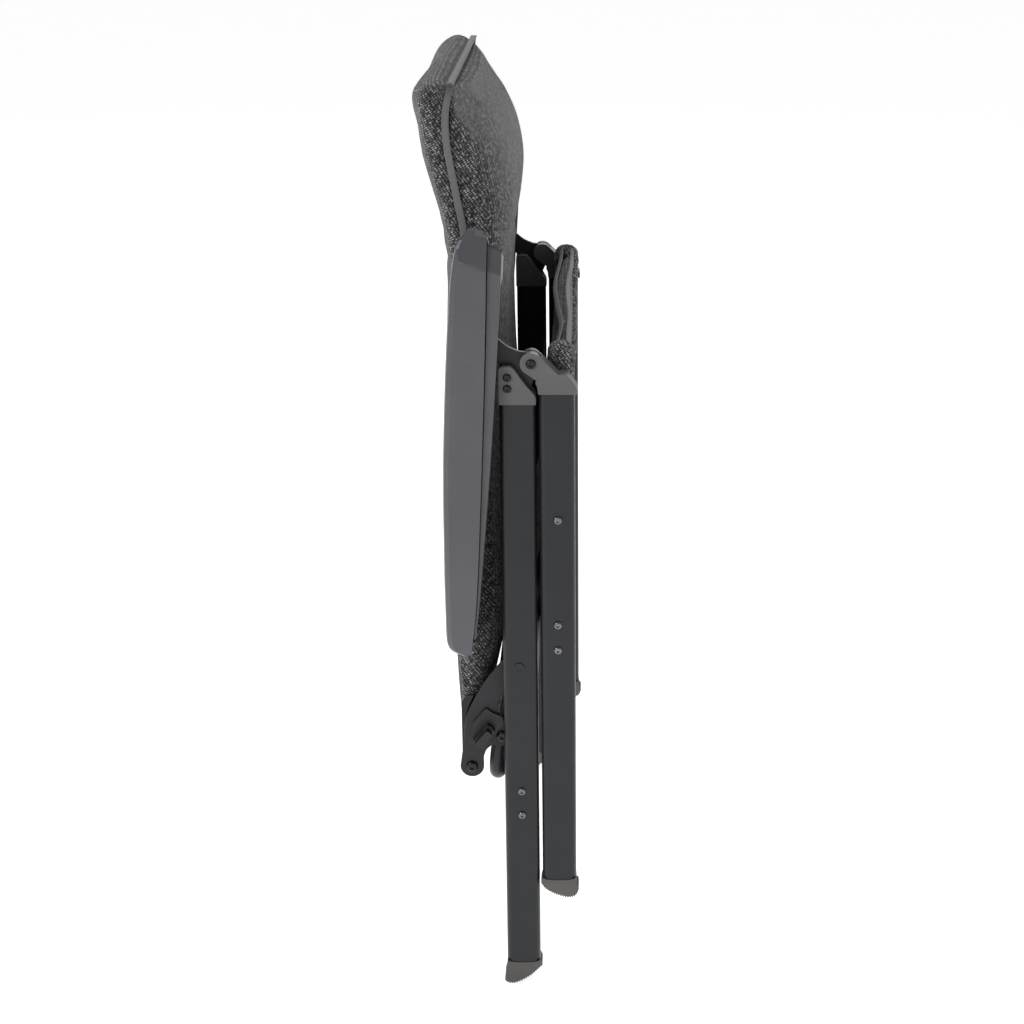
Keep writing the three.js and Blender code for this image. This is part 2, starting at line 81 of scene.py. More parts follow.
def smooth_path(points, steps):
    """A Catmull-Rom path through 3-D points, with even spacing between the returned points."""
    pts = [Vector(p) for p in points]
    pts = [2 * pts[0] - pts[1]] + pts + [2 * pts[-1] - pts[-2]]
    fine = []
    for i in range(1, len(pts) - 2):
        for k in range(24):
            t = k / 24
            a, b, c, d = pts[i - 1:i + 3]
            fine.append(0.5 * (2 * b + (c - a) * t + (2 * a - 5 * b + 4 * c - d) * t * t
                               + (3 * b - a - 3 * c + d) * t ** 3))
    fine.append(pts[-2])
    lengths = [0.0]
    for p, q in zip(fine, fine[1:]):
        lengths.append(lengths[-1] + (q - p).length)
    out, k = [], 0
    for s in range(steps + 1):
        want = lengths[-1] * s / steps
        while k < len(fine) - 2 and lengths[k + 1] < want:
            k += 1
        span = lengths[k + 1] - lengths[k]
        out.append(fine[k].lerp(fine[k + 1], (want - lengths[k]) / span if span > 0 else 0))
    return out


# ---------------------------------------------------------------- materials


class Nodes:
    """A short way to write a node tree: node(kind, input=value or output socket)."""

    def __init__(self, name):
        self.material = bpy.data.materials.new(name)
        self.material.use_nodes = True
        self.tree = self.material.node_tree
        self.shader = self.tree.nodes["Principled BSDF"]
        self.place = self.add("ShaderNodeTexCoord").outputs["Object"]

    def add(self, kind, **values):
        made = self.tree.nodes.new(kind)
        for key, value in values.items():
            if hasattr(made, key):
                setattr(made, key, value)
            else:
                self.set(made.inputs[key.replace("_", " ")], value)
        return made

    def set(self, socket, value):
        if isinstance(value, bpy.types.NodeSocket):
            self.tree.links.new(value, socket)
        else:
            socket.default_value = value

    def math(self, operation, a, b=0.0, c=0.0):
        made = self.add("ShaderNodeMath", operation=operation)
        for socket, value in zip(made.inputs, (a, b, c)):
            self.set(socket, value)
        return made.outputs[0]

    def noise(self, scale, detail=3.0, roughness=0.5, vector=None):
        made = self.add("ShaderNodeTexNoise", Scale=scale, Detail=detail, Roughness=roughness)
        self.set(made.inputs["Vector"], vector or self.place)
        return made.outputs["Fac"]

    def ramp(self, value, low, high, to_low=0.0, to_high=1.0):
        made = self.add("ShaderNodeMapRange", From_Min=low, From_Max=high, To_Min=to_low, To_Max=to_high)
        self.set(made.inputs["Value"], value)
        return made.outputs["Result"]

    def mix(self, factor, a, b):
        made = self.add("ShaderNodeMix", data_type="RGBA")
        self.set(made.inputs[0], factor)
        self.set(made.inputs[6], a)
        self.set(made.inputs[7], b)
        return made.outputs[2]

    def bump(self, height, distance, strength=1.0, normal=None):
        made = self.add("ShaderNodeBump", Distance=distance, Strength=strength)
        self.set(made.inputs["Height"], height)
        if normal:
            self.set(made.inputs["Normal"], normal)
        return made.outputs[0]


def rgba(colour, factor=1.0):
    return (*[min(c * factor, 1.0) for c in colour], 1.0)


def hard_material(name, colour, rough, metallic=0.0, grain=1400.0, grain_depth=0.00006, wear=0.35,
                  specular=0.5, blotch=0.14):
    """Moulded plastic or coated metal: fine grain with darker specks, faint blotches, worn edges."""
    n = Nodes(name)
    blotches = n.noise(9.0, 4.0)
    scuffs = n.noise(60.0, 6.0, 0.65)
    fine = n.noise(grain, 2.0)
    tone = n.mix(n.ramp(blotches, 0.35, 0.65), rgba(colour, 1 - blotch), rgba(colour, 1 + blotch))
    tone = n.mix(n.ramp(fine, 0.3, 0.7, 0.0, 0.22), tone, rgba(colour, 0.7))
    edge = n.add("ShaderNodeBevel", samples=4, Radius=0.0009)
    across = n.add("ShaderNodeVectorMath", operation="DOT_PRODUCT")
    n.set(across.inputs[0], edge.outputs[0])
    n.set(across.inputs[1], n.add("ShaderNodeNewGeometry").outputs["Normal"])
    worn = n.ramp(across.outputs["Value"], 0.995, 0.9, 0.0, 1.0)
    worn = n.math("MULTIPLY", worn, n.ramp(scuffs, 0.35, 0.6, 0.35 * wear, wear))
    tone = n.mix(worn, tone, rgba([0.5 * c + 0.16 for c in colour], 1.2))
    n.set(n.shader.inputs["Base Color"], tone)
    n.set(n.shader.inputs["Roughness"], n.ramp(scuffs, 0.3, 0.7, rough - 0.05, rough + 0.07))
    n.shader.inputs["Metallic"].default_value = metallic
    n.shader.inputs["Specular IOR Level"].default_value = specular
    n.set(n.shader.inputs["Normal"], n.bump(fine, grain_depth, 0.6))
    return n.material


def weave_plane(n, u, v, pitch, rise):
    """Basket weave on a plane: its height, and a random tone for each crossing."""
    a = n.math("DIVIDE", u, pitch)
    b = n.math("DIVIDE", v, rise)
    cell_a, cell_b = n.math("FLOOR", a), n.math("FLOOR", b)
    swell_a = n.math("SINE", n.math("MULTIPLY", n.math("FRACT", a), math.pi))
    swell_b = n.math("SINE", n.math("MULTIPLY", n.math("FRACT", b), math.pi))
    parity = n.math("MODULO", n.math("ABSOLUTE", n.math("ADD", cell_a, cell_b)), 2.0)
    over = n.math("MULTIPLY", swell_a, n.math("MULTIPLY_ADD", swell_b, 0.55, 0.45))
    under = n.math("MULTIPLY", swell_b, n.math("MULTIPLY_ADD", swell_a, 0.55, 0.45))
    height = n.add("ShaderNodeMix", data_type="FLOAT")
    n.set(height.inputs[0], parity)
    n.set(height.inputs[2], n.math("MULTIPLY", over, 0.8))
    n.set(height.inputs[3], under)
    cell = n.add("ShaderNodeCombineXYZ", X=cell_a, Y=cell_b)
    tone = n.add("ShaderNodeTexWhiteNoise", noise_dimensions="3D", Vector=cell.outputs[0])
    return height.outputs[0], tone.outputs["Value"]


def fabric_material(name, dark, light, pitch, rise, depth, sheen=0.2):
    """Coarse woven cloth: dark gaps, heathered yarns, laid on each face by its own normal."""
    n = Nodes(name)
    wobble = n.add("ShaderNodeTexNoise", Scale=70.0, Detail=2.0, Vector=n.place)
    shift = n.add("ShaderNodeVectorMath", operation="MULTIPLY_ADD")
    n.set(shift.inputs[0], wobble.outputs["Color"])
    n.set(shift.inputs[1], (0.0022,) * 3)
    n.set(shift.inputs[2], n.place)
    turned = n.add("ShaderNodeVectorRotate", rotation_type="Y_AXIS", Angle=math.radians(33))
    n.set(turned.inputs["Vector"], shift.outputs[0])
    at = n.add("ShaderNodeSeparateXYZ", Vector=turned.outputs[0])
    x, y, z = at.outputs
    facing = n.add("ShaderNodeSeparateXYZ")
    n.set(facing.inputs[0], n.add("ShaderNodeTexCoord").outputs["Normal"])
    squares = [n.math("POWER", n.math("ABSOLUTE", out), 9.0) for out in facing.outputs]
    total = n.math("ADD", n.math("ADD", squares[0], squares[1]), n.math("ADD", squares[2], 1e-4))
    planes = [weave_plane(n, u, v, pitch, rise) for u, v in ((y, z), (x, z), (x, y))]
    height = tone = None
    for square, (h, t) in zip(squares, planes):
        share = n.math("DIVIDE", square, total)
        height = n.math("MULTIPLY_ADD", h, share, height if height else 0.0)
        tone = n.math("MULTIPLY_ADD", t, share, tone if tone else 0.0)
    fibre = n.noise(2600.0, 2.0, 0.7)
    heather = n.noise(330.0, 2.0, 0.75)
    lit = n.math("MULTIPLY", n.math("POWER", height, 2.0), n.ramp(tone, 0.0, 1.0, 0.3, 1.15))
    lit = n.math("MULTIPLY", lit, n.ramp(heather, 0.36, 0.66, 0.15, 2.1))
    lit = n.math("MULTIPLY", lit, n.ramp(n.noise(170.0, 3.0, 0.8), 0.39, 0.62, 0.2, 2.0))
    lit = n.math("MULTIPLY", lit, n.ramp(fibre, 0.3, 0.7, 0.8, 1.15))
    lit = n.math("MULTIPLY", lit, n.ramp(n.noise(7.0, 3.0), 0.35, 0.65, 0.86, 1.1))
    n.set(n.shader.inputs["Base Color"], n.mix(lit, rgba(dark), rgba(light)))
    n.set(n.shader.inputs["Roughness"], n.ramp(heather, 0.3, 0.7, 0.82, 1.0))
    n.shader.inputs["Sheen Weight"].default_value = sheen
    n.shader.inputs["Sheen Roughness"].default_value = 0.5
    n.shader.inputs["Specular IOR Level"].default_value = 0.2
    full = n.math("ADD", height, n.math("MULTIPLY", fibre, 0.15))
    n.set(n.shader.inputs["Normal"], n.bump(full, depth, 0.9))
    return n.material


def tape_material(name, colour, pitch):
    """Ribbed binding tape: fine ribs across it and a slight tonal drift."""
    n = Nodes(name)
    ribs = n.add("ShaderNodeTexWave", wave_type="BANDS", bands_direction="DIAGONAL", Scale=1 / pitch,
                 Distortion=0.6, Detail=1.0, Vector=n.place)
    fuzz = n.noise(1500.0, 3.0, 0.7)
    tone = n.mix(n.ramp(ribs.outputs["Fac"], 0.2, 0.9), rgba(colour, 0.72), rgba(colour, 1.15))
    tone = n.mix(n.ramp(fuzz, 0.3, 0.7, 0.0, 0.3), tone, rgba(colour, 0.55))
    tone = n.mix(n.ramp(n.noise(25.0), 0.35, 0.65, 0.0, 0.3), tone, rgba(colour, 0.75))
    n.set(n.shader.inputs["Base Color"], tone)
    n.set(n.shader.inputs["Roughness"], n.ramp(fuzz, 0.3, 0.7, 0.75, 0.95))
    n.shader.inputs["Sheen Weight"].default_value = 0.2
    n.set(n.shader.inputs["Normal"], n.bump(n.math("ADD", ribs.outputs["Fac"], fuzz), 0.00012, 0.8))
    return n.material


MATERIAL = {
    "leg_tube": hard_material("leg_tube", (0.0095, 0.0105, 0.0125), 0.38, 0.0, 2200, 0.00003, 0.2, 0.36),
    "cap_plastic": hard_material("cap_plastic", (0.078, 0.078, 0.079), 0.46, 0.0, 1300, 0.00007, 0.5),
    "foot_rubber": hard_material("foot_rubber", (0.088, 0.084, 0.079), 0.72, 0.0, 900, 0.0001, 0.5, 0.35),
    "arm_plastic": hard_material("arm_plastic", (0.057, 0.057, 0.066), 0.32, 0.0, 1700, 0.00003, 0.3, 0.6),
    "black_steel": hard_material("black_steel", (0.018, 0.018, 0.0205), 0.42, 0.0, 1800, 0.00005, 0.22, 0.3),
    "black_plastic": hard_material("black_plastic", (0.008, 0.008, 0.0085), 0.38, 0.0, 1300, 0.00006,
                                   0.3, 0.4),
    "black_screw": hard_material("black_screw", (0.002, 0.002, 0.002), 0.08, 0.0, 1500, 0.00001, 0.03, 0.35),
    "steel_screw": hard_material("steel_screw", (0.16, 0.16, 0.165), 0.22, 1.0, 1500, 0.00002, 0.5),
    "woven_fabric": fabric_material("woven_fabric", (0.004, 0.004, 0.0045), (0.33, 0.33, 0.34), 0.0034,
                                    0.0023, 0.0009),
    "edge_tape": tape_material("edge_tape", (0.13, 0.124, 0.13), 0.0016),
}

# ---------------------------------------------------------------- mesh building


def add_object(name, bm, slot, sharp=35.0):
    """An object from a bmesh, smooth except at its sharp edges, with its slot's material."""
    bmesh.ops.recalc_face_normals(bm, faces=bm.faces)
    mesh = bpy.data.meshes.new(name)
    bm.to_mesh(mesh)
    bm.free()
    mesh.polygons.foreach_set("use_smooth", [True] * len(mesh.polygons))
    mesh.set_sharp_from_angle(angle=math.radians(sharp))
    obj = bpy.data.objects.new(name, mesh)
    bpy.context.scene.collection.objects.link(obj)
    mesh.materials.append(MATERIAL[slot])
    return obj


def place_piece(obj, body, slot, *nodes):
    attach(obj, body)
    if nodes:
        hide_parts(*nodes)
    return obj


def bevelled(obj, width, segments=3, angle=40.0):
    rounding = obj.modifiers.new("round", "BEVEL")
    rounding.width = width
    rounding.segments = segments
    rounding.limit_method = "ANGLE"
    rounding.angle_limit = math.radians(angle)
    rounding.harden_normals = True
    apply_modifiers(obj)
    return obj


def apply_modifiers(obj):
    evaluated = obj.evaluated_get(bpy.context.evaluated_depsgraph_get())
    mesh = bpy.data.meshes.new_from_object(evaluated)
    obj.modifiers.clear()
    obj.data = mesh


def prism(outline, y_from, y_to):
    """A bmesh of an outline of (x, z) points, extruded along y."""
    bm = bmesh.new()
    rings = [[bm.verts.new((x, y, z)) for x, z in outline] for y in (y_from, y_to)]
    count = len(outline)
    bm.faces.new(rings[0])
    bm.faces.new(list(reversed(rings[1])))
    for i in range(count):
        k = (i + 1) % count
        bm.faces.new((rings[0][i], rings[1][i], rings[1][k], rings[0][k]))
    bmesh.ops.recalc_face_normals(bm, faces=bm.faces)
    return bm


def arc(centre, radius, start, end, steps=12):
    """Points of a circular arc in (x, z), with angles in degrees from +X towards +Z."""
    angles = [math.radians(lerp(start, end, i / steps)) for i in range(steps + 1)]
    return [(centre[0] + radius * math.cos(a), centre[1] + radius * math.sin(a)) for a in angles]


def spline(points, steps=6):
    """A smooth line through (x, z) points."""
    path = smooth_path([(x, 0, z) for x, z in points], steps * (len(points) - 1))
    return [(p.x, p.z) for p in path]


def rounded(points, radius, steps=4):
    """A closed (x, z) polygon with its corners rounded; radius may be one value or one per corner."""
    out = []
    count = len(points)
    radii = radius if isinstance(radius, (list, tuple)) else [radius] * count
    for i, point in enumerate(points):
        p = Vector(point)
        before, after = Vector(points[i - 1]) - p, Vector(points[(i + 1) % count]) - p
        reach = min(radii[i], 0.45 * before.length, 0.45 * after.length)
        a, b = p + before.normalized() * reach, p + after.normalized() * reach
        for k in range(steps + 1):
            t = k / steps
            q = a.lerp(p, t).lerp(p.lerp(b, t), t)
            out.append((q.x, q.y))
    return out


def cut(obj, tool_bm, operation="DIFFERENCE"):
    tool_mesh = bpy.data.meshes.new("tool")
    bmesh.ops.recalc_face_normals(tool_bm, faces=tool_bm.faces)
    tool_bm.to_mesh(tool_mesh)
    tool_bm.free()
    tool = bpy.data.objects.new("tool", tool_mesh)
    bpy.context.scene.collection.objects.link(tool)
    step = obj.modifiers.new("cut", "BOOLEAN")
    step.operation = operation
    step.solver = "EXACT"
    step.object = tool
    bpy.context.view_layer.update()
    apply_modifiers(obj)
    bpy.data.objects.remove(tool)
    return obj


def ring_tube(path, radius, sides=28, closed_ends=True):
    """A round tube along a path, as a bmesh; radius is a number or a function of the share along it."""
    bm = bmesh.new()
    rings = []
    normal = None
    last = len(path) - 1
    for i, p in enumerate(path):
        ahead = (path[min(i + 1, last)] - path[max(i - 1, 0)]).normalized()
        if normal is None:
            normal = ahead.orthogonal().normalized()
        normal = (normal - ahead * normal.dot(ahead)).normalized()
        across = ahead.cross(normal)
        r = radius(i / last) if callable(radius) else radius
        ring = []
        for k in range(sides):
            a = 2 * math.pi * k / sides
            ring.append(bm.verts.new(p + r * (math.cos(a) * normal + math.sin(a) * across)))
        rings.append(ring)
    for one, two in zip(rings, rings[1:]):
        for k in range(sides):
            j = (k + 1) % sides
            bm.faces.new((one[k], one[j], two[j], two[k]))
    if closed_ends:
        bm.faces.new(rings[0])
        bm.faces.new(list(reversed(rings[-1])))
    return bm


def ribbon(path, outward, half_width, thickness):
    """A flat tape with softly rounded edges along a path; outward(i) is the way its face looks."""
    bm = bmesh.new()
    rings = []
    last = len(path) - 1
    section = []
    for k in range(16):
        a = 2 * math.pi * k / 16
        c, s = math.cos(a), math.sin(a)
        section.append((math.copysign(abs(c) ** 0.4, c), math.copysign(abs(s) ** 0.7, s)))
    for i, p in enumerate(path):
        ahead = (path[min(i + 1, last)] - path[max(i - 1, 0)]).normalized()
        face = outward(i)
        face = (face - ahead * face.dot(ahead)).normalized()
        across = ahead.cross(face)
        rings.append([bm.verts.new(p + across * c * half_width + face * s * thickness / 2)
                      for c, s in section])
    for one, two in zip(rings, rings[1:]):
        for k in range(16):
            j = (k + 1) % 16
            bm.faces.new((one[k], one[j], two[j], two[k]))
    bm.faces.new(rings[0])
    bm.faces.new(list(reversed(rings[-1])))
    return bm


def turned(name, centre, y_start, side, profile, socket, slot):
    """A turned fastener along y with a hexagon socket; profile is [(radius, distance outward)]."""
    bm = bmesh.new()
    count = 36
    rings = []

    def ring(radius_of, y):
        made = []
        for k in range(count):
            a = 2 * math.pi * k / count
            r = radius_of(a)
            made.append(bm.verts.new((centre[0] + r * math.cos(a), side * y, centre[1] + r * math.sin(a))))
        rings.append(made)

    def hexagon(a):
        return socket / math.cos((a % (math.pi / 3)) - math.pi / 6)

    for radius, out in profile:
        ring(lambda a, r=radius: r, y_start + out)
    top = y_start + profile[-1][1]
    if socket:
        ring(lambda a: socket * 1.28, top)
        ring(hexagon, top - 0.25 * MM)
        ring(hexagon, top - 1.6 * MM)
    for one, two in zip(rings, rings[1:]):
        for k in range(count):
            j = (k + 1) % count
            bm.faces.new((one[k], one[j], two[j], two[k]))
    bm.faces.new(rings[0])
    bm.faces.new(list(reversed(rings[-1])))
    return add_object(name, bm, slot, 50.0)


def screw(name, centre, y_start, side, profile, socket, slot, body, *nodes):
    return place_piece(turned(name, centre, y_start, side, profile, socket, slot), body, slot, *nodes)


def button_head(radius, rise):
    """Profile of a domed head that stands on a face."""
    points = [(radius * 0.6, -3 * MM), (radius * 0.6, 0), (radius * 0.96, 0), (radius, 0.15 * MM)]
    for i in range(1, 7):
        a = math.radians(90 * i / 8)
        points.append((radius * (0.5 + 0.5 * math.cos(a)), 0.25 * MM + (rise - 0.25 * MM) * math.sin(a)))
    return points


# ---------------------------------------------------------------- legs, caps and feet


def leg_section(low, high, grow=0.0, corner=7 * MM):
    """Rounded box outline in (x, y) of a leg, from its CAD box."""
    x0, x1 = low.x - grow, high.x + grow
    y0, y1 = low.y - grow, high.y + grow
    corners = [(x0, y0), (x1, y0), (x1, y1), (x0, y1)]
    return rounded(corners, corner * 1.25, 8)


def legs():
    """Extruded box tubes with round corners, and the oval bars between them."""
    for prefix, body in (("rear", "rear_legs"), ("front", "front_legs")):
        for side, _ in SIDES:
            node = f"{side}_{prefix}_leg"
            low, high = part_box(node)
            bm = bmesh.new()
            outer = leg_section(low, high)
            inner = leg_section(low, high, -1.8 * MM, 5.2 * MM)
            loops = []
            for points in (outer, inner):
                loops.append([[bm.verts.new((x, y, z)) for x, y in points]
                              for z in (low.z, low.z + 0.4 * MM, high.z - 0.4 * MM, high.z)])
            count = len(outer)
            for loop in loops:
                for one, two in zip(loop, loop[1:]):
                    for k in range(count):
                        j = (k + 1) % count
                        bm.faces.new((one[k], one[j], two[j], two[k]))
            for end in (0, -1):
                for k in range(count):
                    j = (k + 1) % count
                    bm.faces.new((loops[0][end][k], loops[0][end][j], loops[1][end][j], loops[1][end][k]))
            place_piece(add_object(f"{node}_tube", bm, "leg_tube", 30), body, "leg_tube", node)
        node = f"{prefix}_cross_bar"
        low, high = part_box(node)
        outline = rounded([(low.x, low.z), (high.x, low.z), (high.x, high.z), (low.x, high.z)], 13 * MM, 8)
        bar = add_object(f"{node}_tube", prism(outline, low.y, high.y), "leg_tube", 30)
        place_piece(bar, body, "leg_tube", node)


def rear_caps():
    """Moulded plug with a slanted upper edge; the apex plate stands in its slot."""
    for side, _ in SIDES:
        low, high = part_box(f"{side}_rear_leg")
        plate_low, plate_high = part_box(f"{side}_apex_plate")
        body_low, body_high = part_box(f"{side}_rear_cap")
        x0, x1, z0 = body_low.x, body_high.x, high.z + 0.3 * MM
        top = body_high.z
        corners = [(x0, z0), (x1, z0), (x1, z0 + 10 * MM), (x0 + 30 * MM, top - 21 * MM),
                   (x0 + 18 * MM, top - 3.6 * MM), (x0 + 14 * MM, top), (x0, top)]
        outline = rounded(corners, [1.2 * MM, 1.2 * MM, 9 * MM, 12 * MM, 4 * MM, 4 * MM, 7 * MM], 6)
        cap = add_object(f"{side}_rear_cap_moulding", prism(outline, body_low.y, body_high.y), "cap_plastic")
        slot = prism([(x0 - 0.01, z0 + 6 * MM), (x1 + 0.01, z0 + 6 * MM), (x1 + 0.01, top + 0.01),
                      (x0 - 0.01, top + 0.01)], plate_low.y - 0.3 * MM, plate_high.y + 0.3 * MM)
        cut(cap, slot)
        bevelled(cap, 1.5 * MM, 4)
        place_piece(cap, "rear_legs", "cap_plastic", f"{side}_rear_cap")


def front_caps():
    """Forked cap: two round-nosed cheeks reach back to the hinge screw."""
    for side, _ in SIDES:
        low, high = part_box(f"{side}_front_leg")
        body_low, body_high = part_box(f"{side}_front_cap")
        plate_low, plate_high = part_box(f"{side}_apex_plate")
        hinge = (HINGE.x, HINGE.z)
        z0 = high.z + 0.3 * MM
        x1 = body_high.x
        outline = arc(hinge, 12 * MM, 48, 232, 24)
        outline += rounded([(low.x - 4 * MM, z0 + 14.5 * MM), (low.x - 1.2 * MM, z0 + 9 * MM),
                            (low.x - 0.4 * MM, z0), (x1, z0), (x1 - 0.3 * MM, z0 + 7 * MM),
                            (x1 - 13 * MM, z0 + 24 * MM)],
                           [3 * MM, 3 * MM, 1.2 * MM, 2 * MM, 9 * MM, 8 * MM], 6)
        cap = add_object(f"{side}_front_cap_moulding", prism(outline, body_low.y, body_high.y), "cap_plastic")
        middle = prism([(low.x - 40 * MM, z0 - 0.01), (low.x + 3 * MM, z0 - 0.01),
                        (low.x + 3 * MM, z0 + 0.06), (low.x - 40 * MM, z0 + 0.06)],
                       plate_low.y - 2 * MM, plate_high.y + 2 * MM)
        cut(cap, middle)
        bevelled(cap, 2.2 * MM, 4)
        place_piece(cap, "front_legs", "cap_plastic", f"{side}_front_cap")


def sole_outline(edge, teeth=16):
    """A closed outline whose last curve, the tread, is cut into teeth."""
    sides, tread = edge
    fine = spline(tread, 8)
    lengths = [0.0]
    for p, q in zip(fine, fine[1:]):
        lengths.append(lengths[-1] + math.dist(p, q))
    steps = []
    for i in range(teeth):
        for part, inward in ((0.0, 0.0), (0.55, 0.0), (0.65, 1.0), (0.92, 1.0)):
            want = (i + part) / teeth * lengths[-1]
            k = max(j for j in range(len(fine) - 1) if lengths[j] <= want)
            t = (want - lengths[k]) / (lengths[k + 1] - lengths[k])
            p = Vector(fine[k]).lerp(Vector(fine[k + 1]), t)
            along = (Vector(fine[k + 1]) - Vector(fine[k])).normalized()
            steps.append(p + Vector((-along.y, along.x)) * inward * 1.5 * MM)
    return list(sides) + [(p.x, p.y) for p in steps]


def feet():
    """Moulded feet: a raised collar curves up at the tube's edges, the tread is finely serrated."""
    for prefix, body in (("rear", "rear_legs"), ("front", "front_legs")):
        for side, _ in SIDES:
            leg_low, leg_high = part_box(f"{side}_{prefix}_leg")
            low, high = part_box(f"{side}_{prefix}_foot")
            joint = leg_low.z - 0.3 * MM
            middle = (leg_low.x + leg_high.x) / 2
            collar = []
            for i in range(13):
                t = -1 + i / 6
                collar.append((middle - t * 19.9 * MM, joint + 2.6 * MM * t ** 4))
            if prefix == "rear":
                tread = [(leg_low.x - 1 * MM, joint - 12 * MM), (leg_low.x - 3.2 * MM, joint - 23 * MM),
                         (leg_low.x - 0.6 * MM, joint - 27.3 * MM), (leg_low.x + 7 * MM, low.z + 0.3 * MM),
                         (leg_low.x + 17 * MM, joint - 25 * MM), (leg_low.x + 29 * MM, joint - 17 * MM),
                         (leg_low.x + 38.6 * MM, joint - 7.4 * MM), (high.x, joint - 2.5 * MM)]
            else:
                tread = [(leg_low.x - 1.9 * MM, joint - 3.5 * MM), (leg_low.x + 3 * MM, joint - 10.8 * MM),
                         (leg_low.x + 12 * MM, joint - 17.2 * MM), (leg_low.x + 25 * MM, joint - 22.2 * MM),
                         (leg_low.x + 33 * MM, low.z + 0.3 * MM), (leg_low.x + 39.5 * MM, joint - 20 * MM),
                         (high.x - 0.2 * MM, joint - 12 * MM), (high.x - 1.4 * MM, joint - 6 * MM)]
            outline = sole_outline((collar, tread), 22)
            foot = add_object(f"{side}_{prefix}_foot_moulding", prism(outline, low.y, high.y), "foot_rubber")
            bm = bmesh.new()
            section = leg_section(leg_low, leg_high, 0.15 * MM)
            rings = [[bm.verts.new((x, y, z)) for x, y in section] for z in (joint, joint + 0.03)]
            for k in range(len(section)):
                j = (k + 1) % len(section)
                bm.faces.new((rings[0][k], rings[0][j], rings[1][j], rings[1][k]))
            bm.faces.new(rings[0])
            bm.faces.new(list(reversed(rings[1])))
            cut(foot, bm)
            bevelled(foot, 0.2 * MM, 1, 50)
            place_piece(foot, body, "foot_rubber", f"{side}_{prefix}_foot")


# ---------------------------------------------------------------- plates, stops and fasteners


